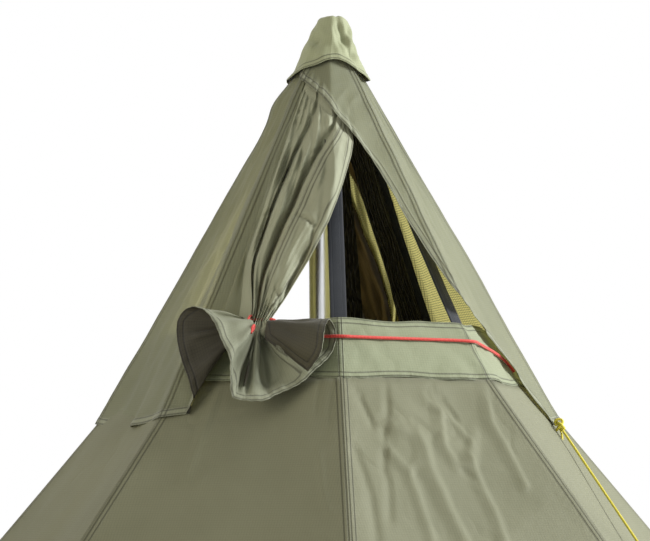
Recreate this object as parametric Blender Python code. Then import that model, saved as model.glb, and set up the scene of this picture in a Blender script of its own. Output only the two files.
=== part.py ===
"""Eight-sided centre-pole tipi tent with an open smoke vent under a two-part hood.

Metres, +Z up. The origin is on the ground at the foot of the pole's axis line, and the front faces -Y.
The tent is the same when it is turned half a turn about its axis, apart from the door, which is at the front.
"""

import math
from collections import namedtuple

import bmesh
import bpy
from mathutils import Matrix, Vector

# Outline of the tent, measured at the eight seams; the hood and its cap follow the height of the hub
SIDES = 8
HUB_HEIGHT = 2.455
BASE_RADIUS = 1.936
KINK_HEIGHT = 1.930
KINK_RADIUS = 0.327
BAND_TOP_HEIGHT = 2.020
BAND_TOP_RADIUS = 0.271
HOOD_HEM_HEIGHT = 1.872
HOOD_HEM_RADIUS = 0.3787
HOOD_TOP_HEIGHT = HUB_HEIGHT - 0.015
HOOD_TOP_RADIUS = 0.0594

# Cloth, webbing and clearances
CLOTH = 0.0018
TOUCH = 0.0003
SEAM_GAP = 0.0003
WEBBING_WIDTH = 0.025
WEBBING_THICKNESS = 0.0016

# Hub plate and the eight seam webbings that bridge the vent
HUB_THICKNESS = 0.006
HUB_RADIUS = 0.037
WEBBING_OVERLAP = 0.035

# Top cap over the hub
CAP_TOP_HEIGHT = HUB_HEIGHT + 0.088
CAP_TOP_RADIUS = 0.016
CAP_HEM_HEIGHT = HUB_HEIGHT - 0.047
CAP_HEM_RADIUS = 0.0825
CAP_CLOTH = 0.004

# Diagonal front edge of each hood half, along the two walls that it crosses; a rise is a share of the
# hood's height
DIAGONAL_START_RISE = 0.8768
DIAGONAL_SEAM_RISE = 0.3310
DIAGONAL_END_SHARE = 0.80
DIAGONAL_TIP_RISE = 0.9489
DIAGONAL_TIP_SHARE = 0.370

# Gathered flap of each hood half: flat part, folds and tail. In the tables of its points, places across
# the tent and out of the hood are shares of the hood's hem radius, and rises are shares of its height
FLAP_HEM = ((0.0, 0.0070), (0.06, 0.0229), (0.17, 0.0845))
FLAP_SHARE = 0.350
TIE_HEIGHT = BAND_TOP_HEIGHT - 0.008
TIE_X = -0.3182 * HOOD_HEM_RADIUS
FLAP_FOLDS = 4
FLAP_THICKNESS = 0.0018
NECK_WIDTH = 0.0296

# Insect net, gathered behind one webbing of each hood half
NET_WIDTH = 0.036
NET_DEPTH = 0.008
NET_FOLDS = 3

# Centre pole in two telescoping tubes
POLE_X = -0.016
UPPER_TUBE_RADIUS = 0.0175
LOWER_TUBE_RADIUS = 0.0150
TUBE_WALL = 0.0015
SLIDE_GAP = 0.0006
UPPER_TUBE_LOW = 1.250
UPPER_TUBE_HIGH = HUB_HEIGHT - 0.015
TUBE_OVERLAP = 0.350
FOOT_RADIUS = 0.032
FOOT_HEIGHT = 0.050
FOOT_SOLE = 0.012
FOOT_WALL = 0.004
SPIGOT_RADIUS = 0.008
SPIGOT_TOP = HUB_HEIGHT + 0.035
PLUG_DEPTH = 0.040

# Lever clamp between the tubes
CLAMP_RADIUS = 0.0240
CLAMP_BELOW = 0.035
CLAMP_ABOVE = 0.030
LUG_WIDTH = 0.022
LUG_HEIGHT = 0.026
LEVER_WIDTH = 0.0094
LEVER_SLOT_GAP = 0.0004
LEVER_LENGTH = 0.062
LEVER_THICKNESS = 0.005
PAD_WIDTH = 0.018
PAD_LENGTH = 0.026
PIN_RADIUS = 0.0025
PIN_OUT = 0.0340

# Door in the wall between seams 7 and 0, in metres from the wall's middle line
DOOR_SIDE = 7
DOOR_LOW = 0.015
DOOR_HIGH = 1.400
DOOR_HINGE_LOW = -0.600
DOOR_HINGE_HIGH = -0.190
DOOR_ZIP_LOW = 0.590
DOOR_ZIP_HIGH = 0.120
DOOR_HINGE_GAP = 0.0010
DOOR_TOP_GAP = 0.0008
ZIP_WIDTH = 0.010
ZIP_CLEARANCE = 0.0004
ZIP_PROUD = 0.0010
SLIDER_REST = 0.100
SLIDER_LENGTH = 0.018
SLIDER_THICKNESS = 0.004
BAIL_LENGTH = 0.009
BAIL_HEIGHT = 0.0045
BAIL_WIDTH = 0.0024
PULLER_LENGTH = 0.036
PULLER_WIDTH = 0.0070
PULLER_THICKNESS = 0.0016

# Door tie-back
TIEBACK_HEIGHT = 0.820
TIEBACK_LENGTH = 0.070
TIEBACK_WIDTH = 0.015
TOGGLE_RADIUS = 0.005
TOGGLE_LENGTH = 0.040

# Hem webbing with its peg loops
HEM_LOW = 0.003
HEM_WIDTH = 0.025
LOOP_REACH = 0.060
LOOP_HALF_WIDTH = 0.011

# Vent guylines, runners and pegs
GUYLINE_RADIUS = 0.0020
GUYLINE_START_SHARE = 0.82
GUYLINE_START_RISE = 0.004
PEG_AZIMUTH = 38.5
PEG_REACH = 2.070
PEG_RADIUS = 0.0035
PEG_LENGTH = 0.180
RUNNER_SHARE = 0.80
RUNNER_LENGTH = 0.034
RUNNER_WIDTH = 0.014
RUNNER_THICKNESS = 0.009
RUNNER_GAP = 0.0005

# Red vent cords
RED_CORD_RADIUS = 0.0025

Finish = namedtuple("Finish", "red green blue roughness metallic")
OUTER_CLOTH = Finish(0.30, 0.31, 0.22, 0.75, 0.0)
HOOD_CLOTH = Finish(0.34, 0.35, 0.26, 0.75, 0.0)
BAND_CLOTH = Finish(0.37, 0.40, 0.28, 0.75, 0.0)
CAP_CLOTH_FINISH = Finish(0.36, 0.39, 0.25, 0.75, 0.0)
GREY_WEBBING = Finish(0.06, 0.07, 0.08, 0.80, 0.0)
BLACK_NET = Finish(0.01, 0.01, 0.01, 0.85, 0.0)
POLE_METAL = Finish(0.80, 0.81, 0.82, 0.25, 1.0)
DARK_PLASTIC = Finish(0.03, 0.03, 0.03, 0.50, 0.0)
BLACK_RUBBER = Finish(0.02, 0.02, 0.02, 0.80, 0.0)
STEEL = Finish(0.60, 0.60, 0.60, 0.30, 1.0)
RED_CORD = Finish(0.80, 0.05, 0.03, 0.60, 0.0)
YELLOW_CORD = Finish(0.85, 0.75, 0.05, 0.60, 0.0)

Slope = namedtuple("Slope", "low_radius low_height high_radius high_height")
BODY = Slope(BASE_RADIUS, 0.0, KINK_RADIUS, KINK_HEIGHT)
BAND = Slope(KINK_RADIUS, KINK_HEIGHT, BAND_TOP_RADIUS, BAND_TOP_HEIGHT)
HOOD = Slope(HOOD_HEM_RADIUS, HOOD_HEM_HEIGHT, HOOD_TOP_RADIUS, HOOD_TOP_HEIGHT)
CAP = Slope(CAP_HEM_RADIUS, CAP_HEM_HEIGHT, CAP_TOP_RADIUS, CAP_TOP_HEIGHT)
UP = Vector((0.0, 0.0, 1.0))
CORNER_TURN = math.pi / SIDES


def clear_scene():
    """Removes whatever the scene holds."""
    for obj in list(bpy.data.objects):
        bpy.data.objects.remove(obj, do_unlink=True)


def outward(seam):
    """Unit vector from the axis towards a seam, in plan."""
    angle = 2.0 * math.pi * seam / SIDES
    return Vector((math.sin(angle), -math.cos(angle), 0.0))


def sideways(seam):
    """Unit vector square to a seam in plan, towards the next seam."""
    angle = 2.0 * math.pi * seam / SIDES
    return Vector((math.cos(angle), math.sin(angle), 0.0))


def radius_at(slope, height):
    """Radius of a slope at its seams."""
    rise = (height - slope.low_height) / (slope.high_height - slope.low_height)
    return slope.low_radius + rise * (slope.high_radius - slope.low_radius)


def hood_height(rise):
    """Height at a share of the hood's height above its hem."""
    return HOOD_HEM_HEIGHT + (HOOD_TOP_HEIGHT - HOOD_HEM_HEIGHT) * rise


def lean_of(slope):
    """Metres that a slope moves in, at its seams, for each metre up."""
    return (slope.low_radius - slope.high_radius) / (slope.high_height - slope.low_height)


def radial(slope, thickness):
    """How far in at the seams a wall of this thickness reaches."""
    flat_lean = math.atan(lean_of(slope) * math.cos(CORNER_TURN))
    return thickness / (math.cos(flat_lean) * math.cos(CORNER_TURN))


def side_length(slope, height):
    """Length of one wall between its seams, at a height."""
    return 2.0 * radius_at(slope, height) * math.sin(CORNER_TURN)


def wall_point(slope, side, share, height, depth=0.0):
    """Point on the flat wall after seam number side, at a share of the way to the next seam."""
    radius = radius_at(slope, height) - depth
    start = outward(side) * radius + sideways(side) * SEAM_GAP / 2
    end = outward(side + 1) * radius - sideways(side + 1) * SEAM_GAP / 2
    return start.lerp(end, share) + UP * height


def wall_normal(slope, side):
    """Unit vector that points straight out of a flat wall."""
    flat_lean = math.atan(lean_of(slope) * math.cos(CORNER_TURN))
    return outward(side + 0.5) * math.cos(flat_lean) + UP * math.sin(flat_lean)


def front_point(slope, x, height, out=0.0):
    """Point on the two front walls, from its place across the tent."""
    radius = radius_at(slope, height) + out
    return Vector((x, abs(x) * math.tan(CORNER_TURN) - radius, height))


def half_turned(points, half):
    """The points as they are for the front half, or turned half a turn for the back half."""
    if half == 0:
        return points
    return [Vector((-p.x, -p.y, p.z)) for p in points]


def material_for(finish, name):
    """A Principled material with the piece's own colour, roughness and metallic value."""
    material = bpy.data.materials.new(name + "_finish")
    material.use_nodes = True
    shader = material.node_tree.nodes["Principled BSDF"]
    shader.inputs["Base Color"].default_value = (finish.red, finish.green, finish.blue, 1.0)
    shader.inputs["Roughness"].default_value = finish.roughness
    shader.inputs["Metallic"].default_value = finish.metallic
    material.diffuse_color = (finish.red, finish.green, finish.blue, 1.0)
    return material


def add_solid(name, points, faces, finish, origin=None, smooth=False):
    """One closed solid from world points, with its origin where it turns or slides."""
    origin = Vector(origin) if origin is not None else Vector()
    mesh = bpy.data.meshes.new(name)
    mesh.from_pydata([tuple(Vector(p) - origin) for p in points], [], faces)
    shape = bmesh.new()
    shape.from_mesh(mesh)
    bmesh.ops.recalc_face_normals(shape, faces=shape.faces)
    shape.to_mesh(mesh)
    shape.free()
    if smooth:
        mesh.shade_smooth()
        mesh.set_sharp_from_angle(angle=math.radians(35))
    obj = bpy.data.objects.new(name, mesh)
    obj.location = origin
    mesh.materials.append(material_for(finish, name))
    bpy.context.scene.collection.objects.link(obj)
    return obj


def add_loft(name, rings, finish, closed=False, origin=None, smooth=False):
    """A solid skinned over equal rings, with flat ends, or closed on itself."""
    count = len(rings[0])
    points = [p for ring in rings for p in ring]
    last = len(rings) if closed else len(rings) - 1
    faces = []
    for row in range(last):
        low = row * count
        high = ((row + 1) % len(rings)) * count
        for i in range(count):
            j = (i + 1) % count
            faces.append((low + i, low + j, high + j, high + i))
    if not closed:
        faces.append(tuple(range(count)))
        faces.append(tuple(range(last * count, (last + 1) * count)))
    return add_solid(name, points, faces, finish, origin, smooth)


def add_sheet(name, rings, finish):
    """A thick sheet skinned over rings that run along its outer side and back along its inner side."""
    count = len(rings[0])
    last = len(rings) - 1
    points = [p for ring in rings for p in ring]
    faces = []
    for row in range(last):
        low = row * count
        high = low + count
        for i in range(count):
            j = (i + 1) % count
            faces.append((low + i, low + j, high + j, high + i))
    for start in (0, last * count):
        for i in range(count // 2 - 1):
            faces.append((start + i, start + i + 1, start + count - 2 - i, start + count - 1 - i))
    return add_solid(name, points, faces, finish)


def add_thick_sheet(name, rows, thickness, finish):
    """A cloth sheet from rows of points along its middle, thickened to both sides."""
    count = len(rows[0])
    points = [p for row in rows for p in row]
    faces = []
    for low in range(0, (len(rows) - 1) * count, count):
        for i in range(low, low + count - 1):
            faces.append((i, i + 1, i + 1 + count, i + count))
    sheet = add_solid(name, points, faces, finish)
    step = sheet.modifiers.new("Thickness", "SOLIDIFY")
    step.thickness = thickness
    step.offset = 0.0
    return sheet


def add_prism(name, outline, shift, finish, origin=None):
    """A flat outline carried along one straight shift."""
    return add_loft(name, [outline, [p + shift for p in outline]], finish, origin=origin)


def circle(centre, across, along, radius, count):
    """Points of a circle in the plane of two unit vectors."""
    turns = [2.0 * math.pi * i / count for i in range(count)]
    return [centre + across * radius * math.cos(t) + along * radius * math.sin(t) for t in turns]


def add_turned(name, centre, profile, finish, count=24, closed=False, origin=None):
    """A solid turned about a vertical line, from (radius, height) steps."""
    rings = []
    for radius, height in profile:
        middle = Vector((centre.x, centre.y, height))
        rings.append(circle(middle, Vector((1, 0, 0)), Vector((0, 1, 0)), radius, count))
    return add_loft(name, rings, finish, closed, origin, smooth=True)


def add_box(name, centre, axes, sizes, finish, origin=None):
    """A box with its sizes along three unit vectors."""
    first, second, third = [Vector(a) * s / 2 for a, s in zip(axes, sizes)]
    centre = Vector(centre) - third
    outline = [
        centre - first - second,
        centre + first - second,
        centre + first + second,
        centre - first + second,
    ]
    return add_prism(name, outline, third * 2, finish, origin)


def helper(obj):
    """Marks an object as a cutter or an addition that isn't part of the tent."""
    obj.hide_render = True
    obj.display_type = "WIRE"
    return obj


def combine(obj, other, operation):
    """Joins to a solid, or cuts from it, another solid."""
    step = obj.modifiers.new(operation.title(), "BOOLEAN")
    step.object = helper(other)
    step.operation = operation
    step.solver = "EXACT"


def add_wall(name, slope, side, outline, finish, thickness=CLOTH, proud=0.0, origin=None):
    """A flat cloth panel: an outline of (share, height) corners, thickened inwards."""
    outer = [wall_point(slope, side, u, z, -radial(slope, proud)) for u, z in outline]
    depth = radial(slope, thickness)
    inner = [wall_point(slope, side, u, z, depth) for u, z in outline]
    return add_loft(name, [outer, inner], finish, origin=origin)


def add_cord(name, points, radius, finish):
    """A cord along a smooth route, with filled ends."""
    curve = bpy.data.curves.new(name, "CURVE")
    curve.dimensions = "3D"
    curve.bevel_depth = radius
    curve.bevel_resolution = 2
    curve.use_fill_caps = True
    spline = curve.splines.new("POLY")
    spline.points.add(len(points) - 1)
    for target, p in zip(spline.points, points):
        target.co = (p.x, p.y, p.z, 1.0)
    curve.materials.append(material_for(finish, name))
    obj = bpy.data.objects.new(name, curve)
    bpy.context.scene.collection.objects.link(obj)
    return obj


def smooth_route(points, steps):
    """Points of a smooth curve through every given point."""
    padded = [points[0] * 2 - points[1]] + points + [points[-1] * 2 - points[-2]]
    route = []
    for i in range(1, len(padded) - 2):
        before, start, end, after = padded[i - 1 : i + 3]
        for k in range(steps):
            t = k / steps
            bend = 2 * before - 5 * start + 4 * end - after
            swing = 3 * start - before - 3 * end + after
            route.append((2 * start + (end - before) * t + bend * t**2 + swing * t**3) / 2)
    return route + [points[-1]]


# Centre pole


def pole_centre():
    """Foot of the pole's axis line."""
    return Vector((POLE_X, 0.0, 0.0))


def build_pole():
    """Tubes, foot and top plug of the centre pole."""
    centre = pole_centre()
    foot_origin = centre.copy()
    bore = LOWER_TUBE_RADIUS + TOUCH
    add_turned(
        "pole_foot",
        centre,
        [
            (FOOT_RADIUS, 0.0),
            (FOOT_RADIUS, FOOT_SOLE),
            (bore + FOOT_WALL, FOOT_SOLE + FOOT_WALL),
            (bore + FOOT_WALL, FOOT_HEIGHT),
            (bore, FOOT_HEIGHT),
            (bore, FOOT_SOLE),
        ],
        BLACK_RUBBER,
        origin=foot_origin,
    )
    low = FOOT_SOLE + TOUCH
    high = UPPER_TUBE_LOW + TUBE_OVERLAP
    inside = LOWER_TUBE_RADIUS - TUBE_WALL
    lower = [(LOWER_TUBE_RADIUS, low), (LOWER_TUBE_RADIUS, high), (inside, high), (inside, low)]
    add_turned("pole_lower_tube", centre, lower, POLE_METAL, closed=True, origin=foot_origin)
    inside = UPPER_TUBE_RADIUS - TUBE_WALL
    upper = [
        (UPPER_TUBE_RADIUS, UPPER_TUBE_LOW),
        (UPPER_TUBE_RADIUS, UPPER_TUBE_HIGH),
        (inside, UPPER_TUBE_HIGH),
        (inside, UPPER_TUBE_LOW),
    ]
    add_turned("pole_upper_tube", centre, upper, POLE_METAL, closed=True)
    stem = inside - TOUCH
    add_turned(
        "pole_top_plug",
        centre,
        [
            (stem, UPPER_TUBE_HIGH - PLUG_DEPTH),
            (stem, UPPER_TUBE_HIGH + TOUCH),
            (UPPER_TUBE_RADIUS, UPPER_TUBE_HIGH + TOUCH),
            (UPPER_TUBE_RADIUS, HUB_HEIGHT - TOUCH),
            (SPIGOT_RADIUS, HUB_HEIGHT - TOUCH),
            (SPIGOT_RADIUS, SPIGOT_TOP - SPIGOT_RADIUS / 2),
            (SPIGOT_RADIUS / 2, SPIGOT_TOP),
        ],
        DARK_PLASTIC,
    )


def build_hub():
    """Plate that sits on the pole's plug and carries the webbings."""
    top = HUB_HEIGHT + HUB_THICKNESS
    rim = HUB_RADIUS / math.cos(CORNER_TURN)
    hole = SPIGOT_RADIUS + TOUCH
    count = SIDES * 3
    rings = []
    corners = ((rim, HUB_HEIGHT, True), (rim, top, True), (hole, top, False), (hole, HUB_HEIGHT, False))
    for radius, height, is_rim in corners:
        ring = []
        for i in range(count):
            seam = i * SIDES / count
            if is_rim:
                turn = (seam % 1.0 - 0.5) * 2 * CORNER_TURN
                reach = radius * math.cos(CORNER_TURN) / math.cos(CORNER_TURN - abs(turn))
                ring.append(outward(seam) * reach + UP * height)
            else:
                ring.append(outward(seam) * radius + Vector((POLE_X, 0.0, height)))
        rings.append(ring)
    add_loft("hub_plate", rings, DARK_PLASTIC, closed=True)


def build_clamp():
    """Collar, pin and lever that lock one tube in the other."""
    centre = pole_centre()
    low = UPPER_TUBE_LOW - CLAMP_BELOW
    high = UPPER_TUBE_LOW + CLAMP_ABOVE
    seat = UPPER_TUBE_LOW - TOUCH
    narrow = LOWER_TUBE_RADIUS + SLIDE_GAP
    wide = UPPER_TUBE_RADIUS + TOUCH
    collar = add_turned(
        "clamp_collar",
        centre,
        [
            (CLAMP_RADIUS, low),
            (CLAMP_RADIUS, high),
            (wide, high),
            (wide, seat),
            (narrow, seat),
            (narrow, low),
        ],
        DARK_PLASTIC,
        closed=True,
    )
    across = Vector((1, 0, 0))
    front = Vector((0, -1, 0))
    pin_place = centre + front * PIN_OUT + UP * (high - LUG_HEIGHT / 2)
    inner = CLAMP_RADIUS - (CLAMP_RADIUS - wide) / 2
    outer = PIN_OUT + PIN_RADIUS + FOOT_WALL
    lug_centre = centre + front * (inner + outer) / 2 + UP * pin_place.z
    axes = (across, front, UP)
    block = add_box("lug_block", lug_centre, axes, (LUG_WIDTH, outer - inner, LUG_HEIGHT), DARK_PLASTIC)
    combine(collar, block, "UNION")
    slot_width = LEVER_WIDTH + 2 * LEVER_SLOT_GAP
    slot_centre = centre + front * (CLAMP_RADIUS + outer) / 2 + UP * pin_place.z
    slot_depth = outer - CLAMP_RADIUS + 2 * SLIDE_GAP
    slot_centre += front * SLIDE_GAP * 2
    slot = add_box("lug_slot", slot_centre, axes, (slot_width, slot_depth, LUG_HEIGHT * 2), DARK_PLASTIC)
    combine(collar, slot, "DIFFERENCE")
    hole_start = pin_place - across * LUG_WIDTH
    hole = circle(hole_start, front, UP, PIN_RADIUS + TOUCH, 16)
    combine(collar, add_prism("lug_hole", hole, across * LUG_WIDTH * 2, DARK_PLASTIC), "DIFFERENCE")
    pin = circle(pin_place - across * LUG_WIDTH / 2, front, UP, PIN_RADIUS, 16)
    add_prism("clamp_pin", pin, across * LUG_WIDTH, STEEL)

    half = LEVER_THICKNESS / 2
    boss = PIN_RADIUS + FOOT_WALL - TOUCH
    outline = []
    for i in range(13):
        turn = math.pi * i / 12
        outline.append(pin_place + (front * math.cos(turn) + UP * math.sin(turn)) * boss)
    outline.append(pin_place - front * half - UP * boss)
    outline.append(pin_place - front * half - UP * LEVER_LENGTH)
    outline.append(pin_place + front * half - UP * LEVER_LENGTH)
    outline.append(pin_place + front * half - UP * boss)
    start = -across * LEVER_WIDTH / 2
    lever = add_prism(
        "clamp_lever", [p + start for p in outline], across * LEVER_WIDTH, DARK_PLASTIC, origin=pin_place
    )
    pad_centre = pin_place - UP * (LEVER_LENGTH - PAD_LENGTH / 2 + half)
    pad_sizes = (PAD_WIDTH, LEVER_THICKNESS + half, PAD_LENGTH)
    pad = add_box("lever_pad", pad_centre + front * half / 2, axes, pad_sizes, DARK_PLASTIC)
    combine(lever, pad, "UNION")
    bore = circle(pin_place - across * LEVER_WIDTH, front, UP, PIN_RADIUS + TOUCH, 16)
    combine(lever, add_prism("lever_bore", bore, across * LEVER_WIDTH * 2, DARK_PLASTIC), "DIFFERENCE")


# Body walls, door and band


def build_walls():
    """The seven plain walls of the body."""
    top = KINK_HEIGHT - TOUCH
    for side in range(SIDES):
        if side == DOOR_SIDE:
            continue
        outline = [(0.0, 0.0), (1.0, 0.0), (1.0, top), (0.0, top)]
        add_wall("wall_panel_%d" % (side + 1), BODY, side, outline, OUTER_CLOTH)


def door_share(low, high, height, shift=0.0):
    """Share along the door wall of a straight door edge, moved sideways by a shift."""
    place = low + (high - low) * (height - DOOR_LOW) / (DOOR_HIGH - DOOR_LOW)
    return 0.5 + (place + shift) / side_length(BODY, height)


def hinge_share(height, shift=0.0):
    """Share of the door's hinge edge."""
    return door_share(DOOR_HINGE_LOW, DOOR_HINGE_HIGH, height, shift)


def zip_share(height, shift=0.0):
    """Share of the leaf's zip edge."""
    return door_share(DOOR_ZIP_LOW, DOOR_ZIP_HIGH, height, shift)


def zip_frame():
    """Foot of the zip's middle line on the outer face, and its unit vectors: up, sideways and out."""
    middle = ZIP_CLEARANCE + ZIP_WIDTH / 2
    foot = wall_point(BODY, DOOR_SIDE, zip_share(DOOR_LOW, middle), DOOR_LOW)
    head = wall_point(BODY, DOOR_SIDE, zip_share(DOOR_HIGH, middle), DOOR_HIGH)
    along = (head - foot).normalized()
    out = wall_normal(BODY, DOOR_SIDE)
    return foot, along, out.cross(along).normalized() * -1, out


def build_door():
    """The door wall's three fixed parts, and the leaf with its zip."""
    top = KINK_HEIGHT - TOUCH
    zip_gap = ZIP_WIDTH + 2 * ZIP_CLEARANCE
    left = [
        (0.0, 0.0),
        (hinge_share(0.0, -DOOR_HINGE_GAP), 0.0),
        (hinge_share(DOOR_HIGH, -DOOR_HINGE_GAP), DOOR_HIGH),
        (0.0, DOOR_HIGH),
    ]
    add_wall("door_wall_left", BODY, DOOR_SIDE, left, OUTER_CLOTH)
    right = [
        (zip_share(0.0, zip_gap), 0.0),
        (1.0, 0.0),
        (1.0, DOOR_HIGH),
        (zip_share(DOOR_HIGH, zip_gap), DOOR_HIGH),
    ]
    add_wall("door_wall_right", BODY, DOOR_SIDE, right, OUTER_CLOTH)
    low = DOOR_HIGH + TOUCH
    above = [(0.0, low), (1.0, low), (1.0, top), (0.0, top)]
    add_wall("door_wall_top", BODY, DOOR_SIDE, above, OUTER_CLOTH)

    leaf_top = DOOR_HIGH - DOOR_TOP_GAP
    hinge_foot = wall_point(BODY, DOOR_SIDE, hinge_share(DOOR_LOW, -DOOR_HINGE_GAP / 2), DOOR_LOW)
    leaf = [
        (hinge_share(DOOR_LOW), DOOR_LOW),
        (zip_share(DOOR_LOW), DOOR_LOW),
        (zip_share(leaf_top), leaf_top),
        (hinge_share(leaf_top), leaf_top),
    ]
    add_wall("door_leaf", BODY, DOOR_SIDE, leaf, OUTER_CLOTH, origin=hinge_foot)
    chain = [
        (zip_share(DOOR_LOW, ZIP_CLEARANCE), DOOR_LOW),
        (zip_share(DOOR_LOW, ZIP_CLEARANCE + ZIP_WIDTH), DOOR_LOW),
        (zip_share(leaf_top, ZIP_CLEARANCE + ZIP_WIDTH), leaf_top),
        (zip_share(leaf_top, ZIP_CLEARANCE), leaf_top),
    ]
    add_wall("door_zip_chain", BODY, DOOR_SIDE, chain, DARK_PLASTIC, CLOTH + ZIP_PROUD, ZIP_PROUD)


def build_slider():
    """Zip slider with its bail, and the puller that hangs in it."""
    foot, along, across, out = zip_frame()
    base = foot + along * SLIDER_REST + out * (ZIP_PROUD + TOUCH)
    axes = (along, across, out)
    width = ZIP_WIDTH - 2 * TOUCH
    middle = base + along * SLIDER_LENGTH / 2
    body_size = (SLIDER_LENGTH, width, SLIDER_THICKNESS)
    slider = add_box("zip_slider", middle + out * SLIDER_THICKNESS / 2, axes, body_size, STEEL, origin=middle)
    bail_size = (BAIL_LENGTH, BAIL_WIDTH, BAIL_HEIGHT + SLIDER_THICKNESS / 2)
    bail_centre = middle + out * (SLIDER_THICKNESS + BAIL_HEIGHT / 2 - SLIDER_THICKNESS / 4)
    combine(slider, add_box("bail_block", bail_centre, axes, bail_size, STEEL), "UNION")
    pivot = middle + out * (SLIDER_THICKNESS + BAIL_HEIGHT / 2)
    tunnel_size = (BAIL_LENGTH - 2 * PULLER_THICKNESS, 2 * width, BAIL_HEIGHT - PULLER_THICKNESS)
    combine(slider, add_box("bail_tunnel", pivot, axes, tunnel_size, STEEL), "DIFFERENCE")

    half_bar = PULLER_THICKNESS / 2
    window_half = BAIL_WIDTH / 2 + TOUCH * 2
    window_low = -(BAIL_LENGTH / 2 + PULLER_THICKNESS)

    def corner(x, y, z):
        return pivot + along * x + across * y + out * z

    def ring(low, high, half_width, z):
        return [
            corner(low, -half_width, z),
            corner(high, -half_width, z),
            corner(high, half_width, z),
            corner(low, half_width, z),
        ]

    half_width = PULLER_WIDTH / 2
    rings = [
        ring(-PULLER_LENGTH, half_bar, half_width, -half_bar),
        ring(-PULLER_LENGTH, half_bar, half_width, half_bar),
        ring(window_low, -half_bar, window_half, half_bar),
        ring(window_low, -half_bar, window_half, -half_bar),
    ]
    add_loft("zip_puller", rings, STEEL, closed=True, origin=pivot)


def build_tieback():
    """Strap and toggle that hold the opened door."""
    share = hinge_share(TIEBACK_HEIGHT, -TIEBACK_LENGTH * 0.8)
    out = wall_normal(BODY, DOOR_SIDE)
    centre = wall_point(BODY, DOOR_SIDE, share, TIEBACK_HEIGHT) + out * (TOUCH + WEBBING_THICKNESS / 2)
    across = sideways(DOOR_SIDE + 0.5)
    axes = (across, out.cross(across), out)
    sizes = (TIEBACK_LENGTH, TIEBACK_WIDTH, WEBBING_THICKNESS)
    add_box("door_tieback_strap", centre, axes, sizes, GREY_WEBBING)
    rise = out * (WEBBING_THICKNESS / 2 + TOUCH + TOGGLE_RADIUS)
    start = centre + rise - out.cross(across) * TOGGLE_LENGTH / 2
    ring = circle(start, across, out, TOGGLE_RADIUS, 12)
    add_prism("door_toggle", ring, out.cross(across) * TOGGLE_LENGTH, DARK_PLASTIC)


def build_band():
    """Double-stitched band at the sill of the vent, as one eight-sided ring."""
    inner = radial(BAND, CLOTH)
    rings = []
    low, top = KINK_HEIGHT, BAND_TOP_HEIGHT
    for height, depth in ((low, 0.0), (top, 0.0), (top, inner), (low, inner)):
        radius = radius_at(BAND, height) - depth
        rings.append([outward(k) * radius + UP * height for k in range(SIDES)])
    add_loft("vent_band", rings, BAND_CLOTH, closed=True)


# Webbings, nets and hood


def webbing_slope():
    """Outer face of the webbings: from the hub plate's rim to the inside of the band's top edge."""
    edge_drop = WEBBING_WIDTH / 2 * math.tan(CORNER_TURN)
    low_radius = BAND_TOP_RADIUS - radial(BAND, CLOTH) - TOUCH - edge_drop
    high_radius = HUB_RADIUS + TOUCH + WEBBING_THICKNESS * 1.2
    return Slope(low_radius, BAND_TOP_HEIGHT, high_radius, HUB_HEIGHT + HUB_THICKNESS)


def build_webbings():
    """Eight flat webbings, one at each seam, from the hub to the band."""
    slope = webbing_slope()
    top = HUB_HEIGHT + HUB_THICKNESS
    low = BAND_TOP_HEIGHT - WEBBING_OVERLAP
    depth = WEBBING_THICKNESS / math.cos(math.atan(lean_of(slope)))
    for seam in range(SIDES):
        shift = sideways(seam) * WEBBING_WIDTH
        outline = []
        for height, inset in ((top, 0.0), (low, 0.0), (low, depth), (top, depth)):
            radius = radius_at(slope, height) - inset
            outline.append(outward(seam) * radius + UP * height - shift / 2)
        add_prism("seam_webbing_%d" % (seam + 1), outline, shift, GREY_WEBBING)


def build_nets():
    """Insect nets, gathered in folds behind the webbing at each hood half's back seam."""
    slope = webbing_slope()
    top = HUB_HEIGHT - TOUCH
    low = BAND_TOP_HEIGHT - WEBBING_OVERLAP
    count = 4 * NET_FOLDS
    for half, name in ((0, "insect_net_back"), (4, "insect_net_front")):
        seam = 3 + half
        rings = []
        for step in range(8):
            height = top + (low - top) * step / 7
            grow = 0.55 + 0.45 * step / 7
            radius = radius_at(slope, height) - WEBBING_THICKNESS * 1.3 - TOUCH
            face = []
            back = []
            for i in range(count + 1):
                across = (i / count - 0.5) * NET_WIDTH * grow
                wave = 0.5 - 0.5 * math.cos(2.0 * math.pi * NET_FOLDS * i / count)
                inset = NET_DEPTH * grow * wave * 0.5
                place = outward(seam) * radius + sideways(seam) * across + UP * height
                face.append(place - outward(seam) * inset)
                back.append(place - outward(seam) * (inset + NET_DEPTH * grow * 0.4))
            rings.append(face + back[::-1])
        add_sheet(name, rings, BLACK_NET)


def build_crown(half, word):
    """Front of a hood half, bent over its front seam, with its tip on the wall before that seam."""
    depth = radial(HOOD, CLOTH)
    stations = (
        (half - 1, DIAGONAL_TIP_SHARE, hood_height(DIAGONAL_TIP_RISE)),
        (half, 0.0, hood_height(DIAGONAL_START_RISE)),
        (half, 1.0, hood_height(DIAGONAL_SEAM_RISE)),
    )
    rings = []
    for side, share, low in stations:
        outer = [wall_point(HOOD, side, share, z) for z in (low, HOOD_TOP_HEIGHT)]
        inner = [wall_point(HOOD, side, share, z, depth) for z in (HOOD_TOP_HEIGHT, low)]
        rings.append(outer + inner)
    add_loft("hood_%s_crown" % word, rings, HOOD_CLOTH)


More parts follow.
